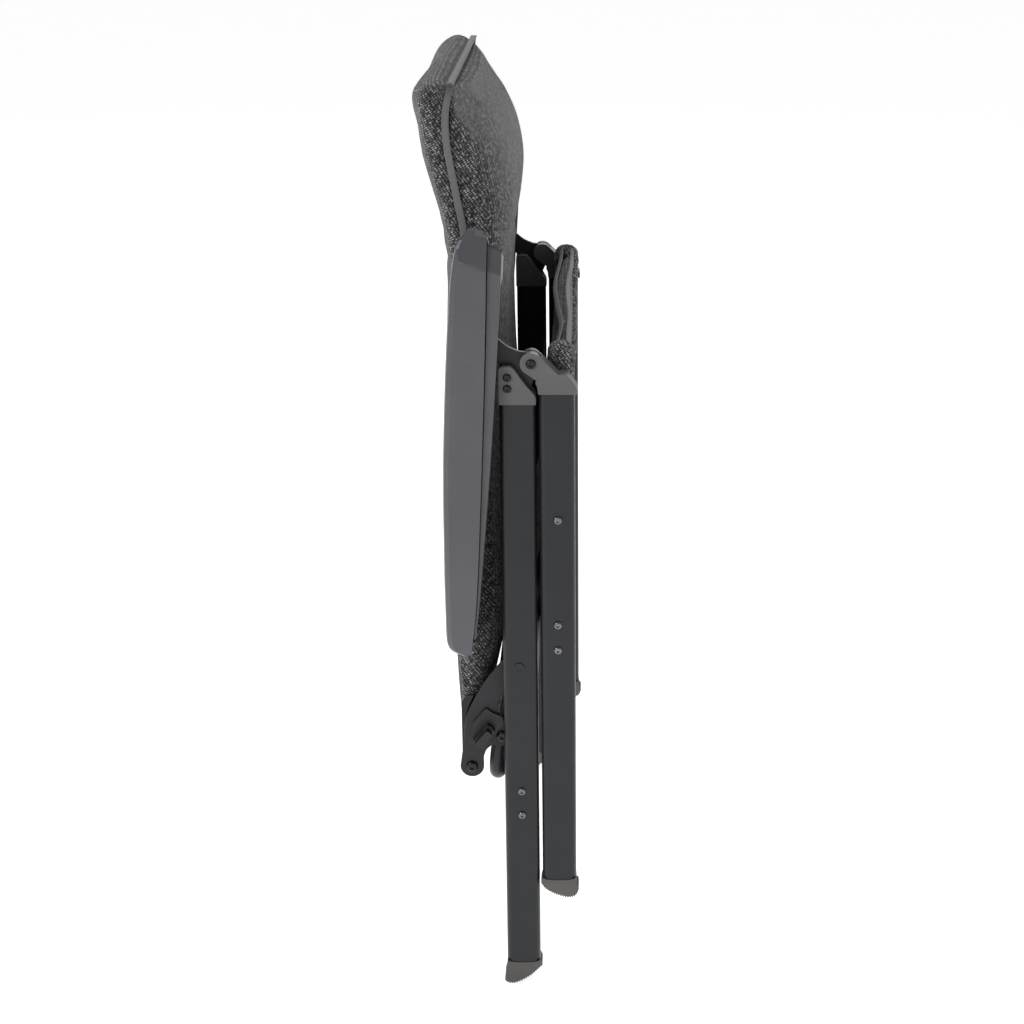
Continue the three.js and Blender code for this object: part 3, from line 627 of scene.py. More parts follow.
def plates():
    """Pressed black plates: the apex plate of the fold, and the link plate with its stop block."""
    for side, sign in SIDES:
        low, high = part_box(f"{side}_apex_plate")
        ratchet_low, ratchet_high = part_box(f"{side}_ratchet_pin")
        ratchet = ((ratchet_low.x + ratchet_high.x) / 2, (ratchet_low.z + ratchet_high.z) / 2)
        hinge = (HINGE.x, HINGE.z)
        outline = arc(ratchet, 13.5 * MM, 180, 50, 14)
        outline += spline([(hinge[0] - 35.7 * MM, hinge[1] + 25.3 * MM),
                           (hinge[0] - 24.9 * MM, hinge[1] + 16.8 * MM),
                           (hinge[0] - 13.3 * MM, hinge[1] + 11.6 * MM)], 8)
        outline += arc(hinge, 11.4 * MM, 112, -18, 16)
        outline += rounded([(hinge[0] + 2.5 * MM, low.z + 11 * MM), (hinge[0] + 0.5 * MM, low.z),
                            (hinge[0] - 31.5 * MM, low.z), (hinge[0] - 33.5 * MM, low.z + 31 * MM)], 3 * MM)
        outline += spline([(hinge[0] - 36 * MM, low.z + 38 * MM), (hinge[0] - 44 * MM, low.z + 46 * MM),
                           (hinge[0] - 60 * MM, low.z + 50 * MM)], 5)
        plate = add_object(f"{side}_apex_plate_pressing", prism(outline, low.y, high.y), "black_steel")
        bevelled(plate, 0.7 * MM, 3)
        place_piece(plate, "rear_legs", "black_steel", f"{side}_apex_plate")

        low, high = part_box(f"{side}_link_plate")
        screw_low, screw_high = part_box(f"{side}_link_screw")
        end = ((screw_low.x + screw_high.x) / 2, (screw_low.z + screw_high.z) / 2)
        back, link = (BACK_PIVOT.x, BACK_PIVOT.z), (LINK_PIVOT.x, LINK_PIVOT.z)
        outline = arc(back, 14 * MM, 0, -180, 28)
        outline += spline([(back[0] - 11.3 * MM, back[1] + 19 * MM), (back[0] - 9.2 * MM, back[1] + 36 * MM),
                           (back[0] - 6.5 * MM, back[1] + 60 * MM), (back[0] + 1.5 * MM, back[1] + 81 * MM),
                           (back[0] + 16.5 * MM, back[1] + 108 * MM),
                           (back[0] + 30 * MM, back[1] + 126.5 * MM)], 7)
        outline += arc(link, 15 * MM, 150, -78, 24)
        outline += arc((link[0] - 5 * MM, link[1] - 62.5 * MM), 22.2 * MM, 84, 252, 24)
        outline += arc(end, 13 * MM, 40, -100, 14)
        outline += spline([(end[0] - 12.5 * MM, end[1] - 12 * MM), (end[0] - 19 * MM, end[1] - 18 * MM),
                           (end[0] - 22.4 * MM, end[1] - 27 * MM)], 5)
        plate = add_object(f"{side}_link_plate_pressing", prism(outline, low.y, high.y), "black_steel")
        bevelled(plate, 0.7 * MM, 3)
        place_piece(plate, "link_plates", "black_steel", f"{side}_link_plate")

        low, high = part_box(f"{side}_stop_block")
        inner, outer = min(abs(low.y), abs(high.y)), max(abs(low.y), abs(high.y))
        foot = rounded([(low.x + 0.5 * MM, low.z + 12 * MM), (low.x + 0.5 * MM, low.z + 27 * MM),
                        (low.x + 16.5 * MM, high.z), (high.x - 13 * MM, high.z - 5.5 * MM),
                        (high.x, high.z - 11.5 * MM), (high.x, high.z - 22.5 * MM),
                        (high.x - 9.5 * MM, low.z + 18 * MM), (low.x + 12.3 * MM, low.z)], 3 * MM)
        block = add_object(f"{side}_stop_block_moulding",
                           prism(foot, sign * inner, sign * (inner + 3.9 * MM)), "black_plastic")
        middle = rounded([(low.x + 0.5 * MM, low.z + 5.5 * MM), (low.x + 0.5 * MM, low.z + 7.2 * MM),
                          (low.x + 17.7 * MM, low.z + 28.3 * MM), (low.x + 21.7 * MM, low.z + 26.5 * MM),
                          (low.x + 26.8 * MM, low.z + 19.4 * MM),
                          (low.x + 12 * MM, low.z + 0.8 * MM)], 0.6 * MM)
        raised = rounded([(low.x + 3.2 * MM, low.z + 6.5 * MM), (low.x + 3.2 * MM, low.z + 7.8 * MM),
                          (low.x + 17.4 * MM, low.z + 25 * MM), (low.x + 20.4 * MM, low.z + 23.8 * MM),
                          (low.x + 23.6 * MM, low.z + 19.4 * MM),
                          (low.x + 12.2 * MM, low.z + 4 * MM)], 0.6 * MM)
        cut(block, prism(middle, sign * (inner + 1 * MM), sign * lerp(inner, outer, 0.55)), "UNION")
        cut(block, prism(raised, sign * (inner + 1 * MM), sign * outer), "UNION")
        bevelled(block, 1.1 * MM, 4, 35)
        place_piece(block, "link_plates", "black_plastic", f"{side}_stop_block")


def node_centre(node):
    low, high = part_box(node)
    return ((low.x + high.x) / 2, (low.z + high.z) / 2)


def fasteners():
    """Every screw, rivet and pin, each standing on the face it clamps."""
    for side, sign in SIDES:
        leg_low, leg_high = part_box(f"{side}_rear_leg")
        face = max(abs(leg_low.y), abs(leg_high.y))
        cap_low, cap_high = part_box(f"{side}_rear_cap")
        cap_face = max(abs(cap_low.y), abs(cap_high.y))
        for prefix, body in (("rear", "rear_legs"), ("front", "front_legs")):
            for i in (1, 2):
                node = f"{side}_{prefix}_bar_screw_{i}"
                screw(f"{node}_button", node_centre(node), face + 0.3 * MM, sign,
                      button_head(4.8 * MM, 2.5 * MM), 1.7 * MM, "steel_screw", body, node)
        for i in (1, 2):
            node = f"{side}_cap_screw_{i}"
            screw(f"{node}_button", node_centre(node), cap_face + 0.3 * MM, sign,
                  button_head(4.6 * MM, 2.4 * MM), 1.8 * MM, "black_screw", "rear_legs", node)
        node = f"{side}_seat_pivot_screw"
        screw(f"{node}_button", (SEAT_PIVOT.x, SEAT_PIVOT.z), face + 0.3 * MM, sign,
              button_head(5 * MM, 2.6 * MM), 1.8 * MM, "steel_screw", "seat", node)
        node = f"{side}_hinge_screw"
        screw(f"{node}_button", (HINGE.x, HINGE.z), cap_face + 0.3 * MM, sign,
              button_head(5.6 * MM, 2.8 * MM), 2.3 * MM, "black_screw", "front_legs", node)
        node = f"{side}_link_rivet"
        flat = [(4 * MM, -3 * MM), (4 * MM, 0), (5.8 * MM, 0), (6.2 * MM, 0.25 * MM), (6 * MM, 0.9 * MM),
                (5.3 * MM, 1.1 * MM), (4.2 * MM, 0.7 * MM), (3.6 * MM, 0.6 * MM), (1 * MM, 0.75 * MM)]
        screw(f"{node}_head", (LINK_PIVOT.x, LINK_PIVOT.z), face + 0.3 * MM, sign, flat, 0,
              "leg_tube", "rear_legs", node)
        plate_low, plate_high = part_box(f"{side}_link_plate")
        plate_face = max(abs(plate_low.y), abs(plate_high.y))
        bolt = [(4 * MM, -4 * MM), (4 * MM, 0), (6.8 * MM, 0), (7.2 * MM, 0.3 * MM), (7 * MM, 1.6 * MM),
                (6.2 * MM, 2.9 * MM), (4.4 * MM, 3.4 * MM)]
        node = f"{side}_link_screw"
        screw(f"{node}_head", node_centre(node), plate_face + 0.3 * MM, sign, bolt, 2.3 * MM,
              "black_screw", "link_plates", node)
        strap_pins(side, sign)


def joined(name, first, *others):
    """One object from several that touch or meet."""
    for other in others:
        bm = bmesh.new()
        bm.from_mesh(first.data)
        bm.from_mesh(other.data)
        bm.to_mesh(first.data)
        bm.free()
        bpy.data.objects.remove(other)
    first.name = name
    return first


STRAP_THICK = 3.5 * MM


def strap_pin(side, sign, node, pivot, slot, body):
    """A pin and the round-ended strap it is made in one with, beside the padded back."""
    low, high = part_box(node)
    inner, outer = min(abs(low.y), abs(high.y)), max(abs(low.y), abs(high.y))
    half = (high.x - low.x) / 2
    top = high.z - half
    face = BACK_HALF + 1.8 * MM
    outline = arc((pivot.x, pivot.z), half, 180, 360, 16) + arc((pivot.x, top), half, 0, 180, 16)
    strap = add_object("strap", prism(outline, sign * face, sign * (face + STRAP_THICK)), slot)
    bevelled(strap, 0.8 * MM, 3)
    shoulder = face + STRAP_THICK - inner
    length = outer - inner - shoulder
    profile = [(4 * MM, 0), (4 * MM, shoulder + 0.6 * length)]
    profile += [(r, shoulder + 0.6 * length + 0.4 * length * t) for r, t in
                ((6.6 * MM, 0), (7 * MM, 0.08), (6.8 * MM, 0.55), (6.0 * MM, 0.9), (4.4 * MM, 1.0))]
    pin = turned(f"{node}_turned", (pivot.x, pivot.z), inner, sign, profile, 2.3 * MM, slot)
    place_piece(joined(f"{node}_strap", strap, pin), body, slot, node)


def strap_pins(side, sign):
    strap_pin(side, sign, f"{side}_back_pivot_bolt", BACK_PIVOT, "black_screw", "back_pivots")
    strap_pin(side, sign, f"{side}_armrest_pin", ARM_PIVOT, "steel_screw", "armrest_pins")
    node = f"{side}_ratchet_pin"
    low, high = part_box(node)
    inner, outer = min(abs(low.y), abs(high.y)), max(abs(low.y), abs(high.y))
    radius = (high.x - low.x) / 2
    profile = [(radius * 0.8, 0), (radius, 0.6 * MM), (radius, outer - inner - 0.6 * MM),
               (radius * 0.8, outer - inner)]
    pin = turned(f"{node}_turned", node_centre(node), inner, sign, profile, 0, "steel_screw")
    place_piece(pin, "rear_legs", "steel_screw", node)


# ---------------------------------------------------------------- bent tubes


def seat_tube():
    """Bent tube: up both sides of the seat, and across behind the sitter."""
    low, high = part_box("seat_frame")
    radius = 10 * MM
    y = high.y - radius
    rear = low.z + radius - 6 * MM
    end = node_centre("left_link_screw")
    sleeve_low, sleeve_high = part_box("left_seat_sleeve")
    top = sleeve_high.z - 8 * MM
    bend = 30 * MM
    half = [(sleeve_high.x - 15.6 * MM, y, top), (sleeve_low.x + 16.4 * MM, y, sleeve_low.z),
            (SEAT_PIVOT.x, y, SEAT_PIVOT.z), ((SEAT_PIVOT.x + end[0]) / 2, y, (SEAT_PIVOT.z + end[1]) / 2),
            (end[0], y, end[1]), (end[0] - 6 * MM, y, rear + bend * 0.75),
            (end[0] - 7 * MM, y - bend * 0.3, rear + bend * 0.12), (end[0] - 7 * MM, y - bend, rear),
            (end[0] - 7 * MM, y - bend * 4, rear)]
    route = half + [(x, -v, z) for x, v, z in reversed(half)]
    tube = add_object("seat_frame_tube", ring_tube(smooth_path(route, 260), radius, 32), "leg_tube")
    place_piece(tube, "seat", "leg_tube", "seat_frame")


def back_tube():
    """Bent tube inside the back cover; only its two lower ends show."""
    low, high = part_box("back_frame")
    radius = 10 * MM
    y = high.y - radius
    top = high.z - radius - 14 * MM
    bend = 62 * MM
    px, pz = BACK_PIVOT.x, BACK_PIVOT.z
    half = [(px, y, pz - 13 * MM), (px - 1 * MM, y, pz + 20 * MM), (px - 6.7 * MM, y, pz + 120 * MM),
            (px - 9.7 * MM, y, pz + 280 * MM), (px - 4.7 * MM, y, pz + 440 * MM),
            (px + 2.3 * MM, y, pz + 580 * MM),
            (px + 0.3 * MM, y, pz + 680 * MM), (px - 8.7 * MM, y, top - bend),
            (px - 10.7 * MM, y - bend * 0.3, top - bend * 0.22), (px - 11.7 * MM, y - bend, top),
            (px - 11.7 * MM, y - bend * 4, top)]
    route = half + [(x, -v, z) for x, v, z in reversed(half)]
    tube = add_object("back_frame_tube", ring_tube(smooth_path(route, 300), radius, 28), "leg_tube")
    place_piece(tube, "backrest", "leg_tube", "back_frame")


# ---------------------------------------------------------------- armrests


ARM_LEFT = [(0.0, 27.5), (4.0, 19.0), (8.0, 10.5), (11.0, 5.8), (16.0, 3.4), (25.0, 2.4), (60.0, 2.0),
            (103.0, 1.8),
            (241.0, 3.9), (417.0, 14.0), (470.0, 21.5), (490.0, 30.5)]
ARM_SEAM = [(0.0, 27.5), (73.0, 35.0), (253.0, 44.5), (400.0, 50.5), (490.0, 52.8)]
ARM_RAIL = [(0.0, 30.5), (68.0, 38.0), (241.0, 53.5), (413.0, 66.0), (490.0, 69.3)]


def arm_line(line, low, z):
    """x of one of the armrest's lines at a height above its lower end."""
    return low.x + curve_at(line, (z - low.z) / MM) * MM


def end_facet(bm, low, high, sign, outer):
    """Slopes the outer face in at the front end: a crisp edge, then the points moved onto the plane."""
    a = Vector((low.x + 14 * MM, sign * outer, high.z - 27 * MM))
    b = Vector((low.x + 52 * MM, sign * outer, high.z - 43 * MM))
    c = Vector((low.x + 30 * MM, sign * (outer - 9 * MM), high.z - 2 * MM))
    normal = (b - a).cross(c - a).normalized()
    if normal.y * sign < 0:
        normal = -normal
    bmesh.ops.bisect_plane(bm, geom=bm.verts[:] + bm.edges[:] + bm.faces[:], plane_co=a, plane_no=normal)
    for v in bm.verts:
        above = (v.co - a).dot(normal)
        if above > 1e-6 and v.co.y * sign > 0:
            v.co.y -= above / normal.y


def lean_end(bm, low, high, outer):
    """Leans the front end back: it is lower on the inner side."""
    for v in bm.verts:
        share = max(0.0, (v.co.z - high.z + 80 * MM) / (80 * MM))
        v.co.z -= share * (0.42 * (outer - abs(v.co.y)) + 0.16 * (v.co.x - low.x - 30 * MM))


def arm_shell(side, sign, low, high, inner, outer):
    """The cover: flat sides, two crisp chamfers and a low crown."""
    section = [(0.0, 1.0, 0.0), (0.5, 1.0, 0.0), (1.0, 1.0, -4.2), (1.0, 0.90, -1.0), (1.0, 0.76, 0.0),
               (1.0, 0.4, 0.5), (1.0, 0.0, 0.7)]
    section += [(t, -w, d) for t, w, d in reversed(section[:-1])]
    half, middle = (outer - inner) / 2, (outer + inner) / 2
    bm = bmesh.new()
    rings = []
    for i in range(121):
        z = lerp(low.z, high.z, (i / 120) ** 1.15)
        left, right = arm_line(ARM_LEFT, low, z), arm_line(ARM_SEAM, low, z)
        span = right - left
        ring = []
        for t, w, d in section:
            x = right - span * t - min(d, 0.4 * span / MM) * MM if t == 1.0 else right - span * t
            ring.append(bm.verts.new((max(x, left - 1.6 * MM), sign * (middle + w * half), z)))
        rings.append(ring)
    for one, two in zip(rings, rings[1:]):
        for k in range(len(section) - 1):
            bm.faces.new((one[k], one[k + 1], two[k + 1], two[k]))
    bm.faces.new(rings[0])
    bm.faces.new(rings[-1])
    bmesh.ops.recalc_face_normals(bm, faces=bm.faces)
    lean_end(bm, low, high, outer)
    end_facet(bm, low, high, sign, outer)
    shell = add_object(f"{side}_armrest_cover", bm, "arm_plastic", 25)
    thick = shell.modifiers.new("wall", "SOLIDIFY")
    thick.thickness = 3.2 * MM
    thick.offset = -1
    apply_modifiers(shell)
    bevelled(shell, 0.55 * MM, 2, 18)
    place_piece(shell, "armrests", "arm_plastic", f"{side}_armrest_shell")


def arm_rail(side, sign, low, high, inner, outer):
    """The lower channel: set in a little from the cover behind a shadow gap."""
    top = high.z - 6 * MM
    heights = [lerp(low.z + 22 * MM, top, i / 90) for i in range(91)]
    outline = [(arm_line(ARM_SEAM, low, z) + 1.3 * MM, z) for z in heights if z < top - 1 * MM]
    outline += [(arm_line(ARM_RAIL, low, z), z) for z in reversed(heights) if z < top - 8 * MM]
    bm = prism(outline, sign * (inner + 1.4 * MM), sign * (outer - 1.4 * MM))
    lean_end(bm, low, high, outer)
    end_facet(bm, low, high, sign, outer - 1.0 * MM)
    rail = add_object(f"{side}_armrest_channel", bm, "arm_plastic", 25)
    opening = prism([(low.x - 0.02, low.z + 25 * MM), (high.x + 0.05, low.z + 25 * MM),
                     (high.x + 0.05, high.z - 60 * MM), (low.x - 0.02, high.z - 60 * MM)],
                    sign * (inner + 4.5 * MM), sign * (outer - 4.5 * MM))
    cut(rail, opening)
    bevelled(rail, 0.9 * MM, 3, 25)
    place_piece(rail, "armrests", "arm_plastic", f"{side}_armrest_rail")


def armrests():
    """Satin covers over their channel rails, with a faceted front end."""
    for side, sign in SIDES:
        low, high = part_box(f"{side}_armrest_shell")
        inner, outer = min(abs(low.y), abs(high.y)), max(abs(low.y), abs(high.y))
        arm_shell(side, sign, low, high, inner, outer)
        arm_rail(side, sign, low, high, inner, outer)


# ---------------------------------------------------------------- soft goods


def cushion_mesh(stations, half_width, around=104, square=3.2, full=2.2, ends=(0.02, 0.02)):
    """A closed crowned pad. stations are (spine point, front way, front depth, rear depth)."""
    bm = bmesh.new()
    rings = []
    for i, (spine, way, front, rear) in enumerate(stations):
        width = half_width(i)
        ring = []
        for k in range(around):
            a = 2 * math.pi * k / around
            c, s = math.cos(a), math.sin(a)
            y = width * math.copysign(abs(c) ** (2 / square), c)
            depth = (front if s > 0 else -rear) * abs(s) ** (2 / full)
            ring.append(bm.verts.new(spine + way * depth + Vector((0, y, 0))))
        rings.append(ring)
    for one, two in zip(rings, rings[1:]):
        for k in range(around):
            j = (k + 1) % around
            bm.faces.new((one[k], one[j], two[j], two[k]))
    bm.faces.new(rings[0])
    bm.faces.new(list(reversed(rings[-1])))
    bmesh.ops.recalc_face_normals(bm, faces=bm.faces)
    return bm


def end_swell(distance, reach, power=2.0):
    """Share of the full depth at a distance from a pad's end, rounding over the reach."""
    if distance >= reach:
        return 1.0
    t = 1 - max(distance, 0.0) / reach
    return (1 - t ** power) ** (1 / power)


def puff(obj, voxel, pressure, held, cap, frames=20):
    """Swells a pad as inflated cloth: held(co) is how firmly a point stays, cap the largest movement."""
    remesh = obj.modifiers.new("remesh", "REMESH")
    remesh.mode = "VOXEL"
    remesh.voxel_size = voxel
    apply_modifiers(obj)
    rest = [v.co.copy() for v in obj.data.vertices]
    group = obj.vertex_groups.new(name="held")
    for v in obj.data.vertices:
        group.add([v.index], held(v.co), "REPLACE")
    cloth = obj.modifiers.new("cloth", "CLOTH")
    settings = cloth.settings
    settings.quality = 4
    settings.mass = 0.4
    settings.tension_stiffness = settings.compression_stiffness = 25
    settings.shear_stiffness = 12
    settings.bending_stiffness = 1.5
    settings.use_pressure = True
    settings.uniform_pressure_force = pressure
    settings.vertex_group_mass = "held"
    settings.effector_weights.gravity = 0
    cloth.collision_settings.use_collision = False
    cloth.point_cache.frame_start = 1
    cloth.point_cache.frame_end = frames
    for f in range(1, frames + 1):
        bpy.context.scene.frame_set(f)
    apply_modifiers(obj)
    bpy.context.scene.frame_set(1)
    for v, start in zip(obj.data.vertices, rest):
        move = v.co - start
        if move.length > cap:
            v.co = start + move * (cap / move.length)
    obj.vertex_groups.clear()


def soften(obj, levels=1, smooth=4):
    step = obj.modifiers.new("smooth", "SMOOTH")
    step.iterations = smooth
    step.factor = 0.5
    if levels:
        fine = obj.modifiers.new("fine", "SUBSURF")
        fine.levels = fine.render_levels = levels
    apply_modifiers(obj)
    obj.data.polygons.foreach_set("use_smooth", [True] * len(obj.data.polygons))


def press_seams(obj, seams):
    """Pulls sewn lines in along the normal: each seam is (distance function of a point and its normal, width,
    depth).
    """
    normals = [v.normal.copy() for v in obj.data.vertices]
    for v, normal in zip(obj.data.vertices, normals):
        for distance, width, depth in seams:
            d = distance(v.co, normal)
            if d is not None and abs(d) < 3 * width:
                v.co -= normal * depth * math.exp(-(d / width) ** 2)


BACK_LOW, BACK_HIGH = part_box("back_cover")
PILLOW_LOW, PILLOW_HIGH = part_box("head_pillow")
TUBE_LOW, TUBE_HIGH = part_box("back_frame")
BACK_HALF = TUBE_HIGH.y + 8 * MM
CORNER = 50 * MM
TAPE_LINE = [(0.28, -0.0353), (0.40, -0.042), (0.56, -0.045), (0.72, -0.040), (0.86, -0.033),
             (0.917, -0.0335),
             (0.945, -0.0385), (0.984, -0.0455), (1.010, -0.0495), (1.043, -0.0505), (1.072, -0.0455)]
BACK_FRONT = [(0.325, -0.018), (0.36, -0.011), (0.40, -0.001), (0.44, 0.009), (0.50, 0.014), (0.56, 0.013),
              (0.62, 0.008), (0.72, 0.003), (0.81, 0.002),
              (0.865, 0.004), (0.885, -0.012), (0.91, -0.024), (1.00, -0.038), (1.072, -0.040)]
BACK_REAR = [(0.325, -0.049), (0.42, -0.056), (0.56, -0.0635), (0.68, -0.066), (0.80, -0.058), (0.86, -0.055),
             (0.905, -0.060), (0.94, -0.069), (0.98, -0.080), (1.02, -0.088), (1.05, -0.091), (1.078, -0.084)]


def back_width(z):
    """Half width of the back: straight sides and rounded top corners."""
    corner = CORNER
    top = BACK_HIGH.z
    d = top - z
    if d >= corner:
        return BACK_HALF
    return BACK_HALF - corner + corner * math.sqrt(max(0.0, 1 - ((corner - d) / corner) ** 2))


def bunched_heights(low, high, steps):
    """Heights from low to high, closer together at both ends, where the pad rounds off."""
    heights = set()
    for i in range(steps + 1):
        c = math.cos(math.pi * i / steps)
        share = 0.5 - 0.5 * c * abs(c) ** -0.35 if abs(c) > 1e-6 else 0.5
        heights.add(round(min(max(lerp(low, high, share), low), high), 6))
    return sorted(heights)


def back_cover():
    """Padded sleeve over the back tube: a slim body and a thick, upright head end."""
    low, high = BACK_LOW.z - 2 * MM, BACK_HIGH.z
    heights = bunched_heights(low, high, 110)
    stations = []
    for z in heights:
        x = curve_at(TAPE_LINE, z)
        front = (curve_at(BACK_FRONT, z) - x) * end_swell(high - z, 0.10, 1.6) * end_swell(z - low, 0.012)
        rear = (x - curve_at(BACK_REAR, z)) * end_swell(high - z, 0.024, 2.2) * end_swell(z - low, 0.012)
        stations.append((Vector((x, 0, z)), Vector((1, 0, 0)), max(front, 0.4 * MM), max(rear, 0.4 * MM)))
    bm = cushion_mesh(stations, lambda i: back_width(heights[i]), 120, 7.0, 3.4)
    for v in bm.verts:
        behind = min(1.0, max(0.0, (curve_at(TAPE_LINE, v.co.z) - v.co.x - 2 * MM) / (16 * MM)))
        aloft = min(1.0, max(0.0, (v.co.z - 0.985) / 0.07))
        v.co.z += 8 * MM * behind * aloft * aloft * (3 - 2 * aloft)
        v.co.x -= 2 * MM * behind * aloft
        near_top = min(CORNER, max(0.0, CORNER - (high - v.co.z)))
        v.co.y *= 1 + 0.115 * behind * (near_top / CORNER) ** 2
    cover = add_object("back_cover_padded", bm, "woven_fabric")
    puff(cover, 5 * MM, 3.0, lambda p: 1.0 if abs(p.y) > BACK_HALF - 10 * MM else
         (0.9 if p.z < BACK_LOW.z + 12 * MM else 0.0), 5 * MM)
    soften(cover, 1, 3)

    def beside_tape(p, normal):
        if abs(p.y) < BACK_HALF - 26 * MM and p.z < BACK_HIGH.z - 26 * MM:
            return None
        return p.x - curve_at(TAPE_LINE, p.z)

    def pillow_seam(p, normal):
        return p.z - PILLOW_LOW.z if normal.x > 0.3 and abs(p.y) < BACK_HALF - 12 * MM else None

    press_seams(cover, [(beside_tape, 5.5 * MM, 2.4 * MM), (pillow_seam, 5 * MM, 2.5 * MM)])
    place_piece(cover, "backrest", "woven_fabric", "back_cover")
    return cover


def head_pillow():
    """Crowned head pad on the front of the back, closed into it along a sewn line."""
    low, high = PILLOW_LOW.z - 6 * MM, BACK_HIGH.z - 1 * MM
    front = [(low, 0.0035), (0.88, 0.0125), (0.90, 0.0165), (0.93, 0.0205), (0.955, 0.0185), (0.985, 0.0110),
             (1.01, -0.0010), (1.035, -0.0175), (1.055, -0.0325), (high, -0.044)]
    stations = []
    heights = [lerp(low, high, i / 70) for i in range(71)]
    for z in heights:
        base = curve_at(TAPE_LINE, z) + 2.0 * MM + 24 * MM * max(0.0, 1 - (z - low) / 0.03)
        depth = (curve_at(front, z) - base) * end_swell(z - low, 0.012)
        stations.append((Vector((base, 0, z)), Vector((1, 0, 0)), max(depth, 0.6 * MM), 2.5 * MM))
    bm = cushion_mesh(stations, lambda i: back_width(heights[i]) - 1.5 * MM, 120, 5.5, 2.5)
    pillow = add_object("head_pillow_padded", bm, "woven_fabric")
    puff(pillow, 5 * MM, 3.0, lambda p: 1.0 if abs(p.y) > BACK_HALF - 10 * MM or p.z < low + 8 * MM else 0.0,
         4 * MM)
    soften(pillow, 1, 3)
    place_piece(pillow, "backrest", "woven_fabric", "head_pillow")


def back_tape():
    """Binding tape along the sewn edge: up one side, across the top and down the other."""
    side = [Vector((curve_at(TAPE_LINE, z), back_width(z) + 0.6 * MM, z))
            for z in [BACK_HIGH.z - CORNER - 4 * MM - i * 8 * MM for i in range(55, -1, -1)]]
    corner = CORNER
    for i in range(9):
        a = math.radians(90 * i / 8)
        z = BACK_HIGH.z - corner + (corner + 0.8 * MM) * math.sin(a)
        y = BACK_HALF - corner + (corner + 0.8 * MM) * math.cos(a)
        side.append(Vector((curve_at(TAPE_LINE, min(z, BACK_HIGH.z)), y, z)))
    path = side + [Vector((p.x, -p.y, p.z)) for p in reversed(side)]
    path = smooth_path(path, 420)

    def outward(i):
        p = path[i]
        y = math.copysign(max(0.0, abs(p.y) - (BACK_HALF - corner)), p.y)
        z = max(0.0, p.z - (BACK_HIGH.z - corner))
        out = Vector((0.0, y, z))
        return out.normalized() if out.length > 1e-6 else Vector((0, math.copysign(1, p.y), 0))

    tape = add_object("back_edge_tape", ribbon(path, outward, 3.9 * MM, 2.6 * MM), "edge_tape", 60)
    place_piece(tape, "backrest", "edge_tape")
    stitches("back_tape_stitches", path, outward, 2.7 * MM, "backrest")


def stitches(name, path, outward, offset, body):
    """Two rows of short sewn stitches along a tape."""
    bm = bmesh.new()
    last = len(path) - 1
    for row in (-1, 1):
        for i in range(1, last - 1, 2):
            ahead = (path[i + 1] - path[i - 1]).normalized()
            face = outward(i)
            face = (face - ahead * face.dot(ahead)).normalized()
            across = ahead.cross(face)
            centre = path[i] + across * row * offset + face * 1.25 * MM
            half = ahead * 1.5 * MM
            points = [centre - half - face * 0.35 * MM, centre - half * 0.4 + face * 0.1 * MM,
                      centre + half * 0.4 + face * 0.1 * MM, centre + half - face * 0.35 * MM]
            rings = []
            for p in points:
                rings.append([bm.verts.new(p + 0.35 * MM * (math.cos(b) * across + math.sin(b) * face))
                              for b in (0, math.pi / 2, math.pi, 1.5 * math.pi)])
            for one, two in zip(rings, rings[1:]):
                for k in range(4):
                    bm.faces.new((one[k], one[(k + 1) % 4], two[(k + 1) % 4], two[k]))
            bm.faces.new(rings[0])
            bm.faces.new(list(reversed(rings[-1])))
    place_piece(add_object(name, bm, "edge_tape", 60), body, "edge_tape")


SEAT_LOW, SEAT_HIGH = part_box("seat_cover")
SLEEVE_LOW, SLEEVE_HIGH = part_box("left_seat_sleeve")
SEAT_MIDDLE = [(0.302, -0.0035), (0.32, -0.0005), (0.46, 0.0325), (0.60, 0.064), (0.69, 0.0705),
               (0.745, 0.0725),
               (0.79, 0.0735)]
SEAT_THICK = [(0.302, 0.0075), (0.33, 0.0105), (0.46, 0.0105), (0.60, 0.0105), (0.70, 0.0095), (0.76, 0.008),
              (0.79, 0.0065)]


def seat_wave(y):
    """The slack front edge: how far it bellies towards the sitter, and how full it is, at a y."""
    belly = -5.5 * MM * math.exp(-((y - 0.06) / 0.11) ** 2) + 2.0 * MM * math.exp(-((y + 0.13) / 0.06) ** 2)
    full = 1.0 - 0.35 * math.exp(-((y + 0.15) / 0.055) ** 2) + 0.25 * math.exp(-((y - 0.12) / 0.12) ** 2)
    return belly, full


def seat_point(y, z, offset):
    """A point of the seat pad at a height, offset by a share of its thickness from the middle."""
    share = max(0.0, (z - 0.62) / (SEAT_HIGH.z - 0.62))
    belly, full = seat_wave(y)
    x = curve_at(SEAT_MIDDLE, z) + belly * share
    thick = curve_at(SEAT_THICK, z) * lerp(1.0, full, share)
    return Vector((x + offset * thick, y, z))


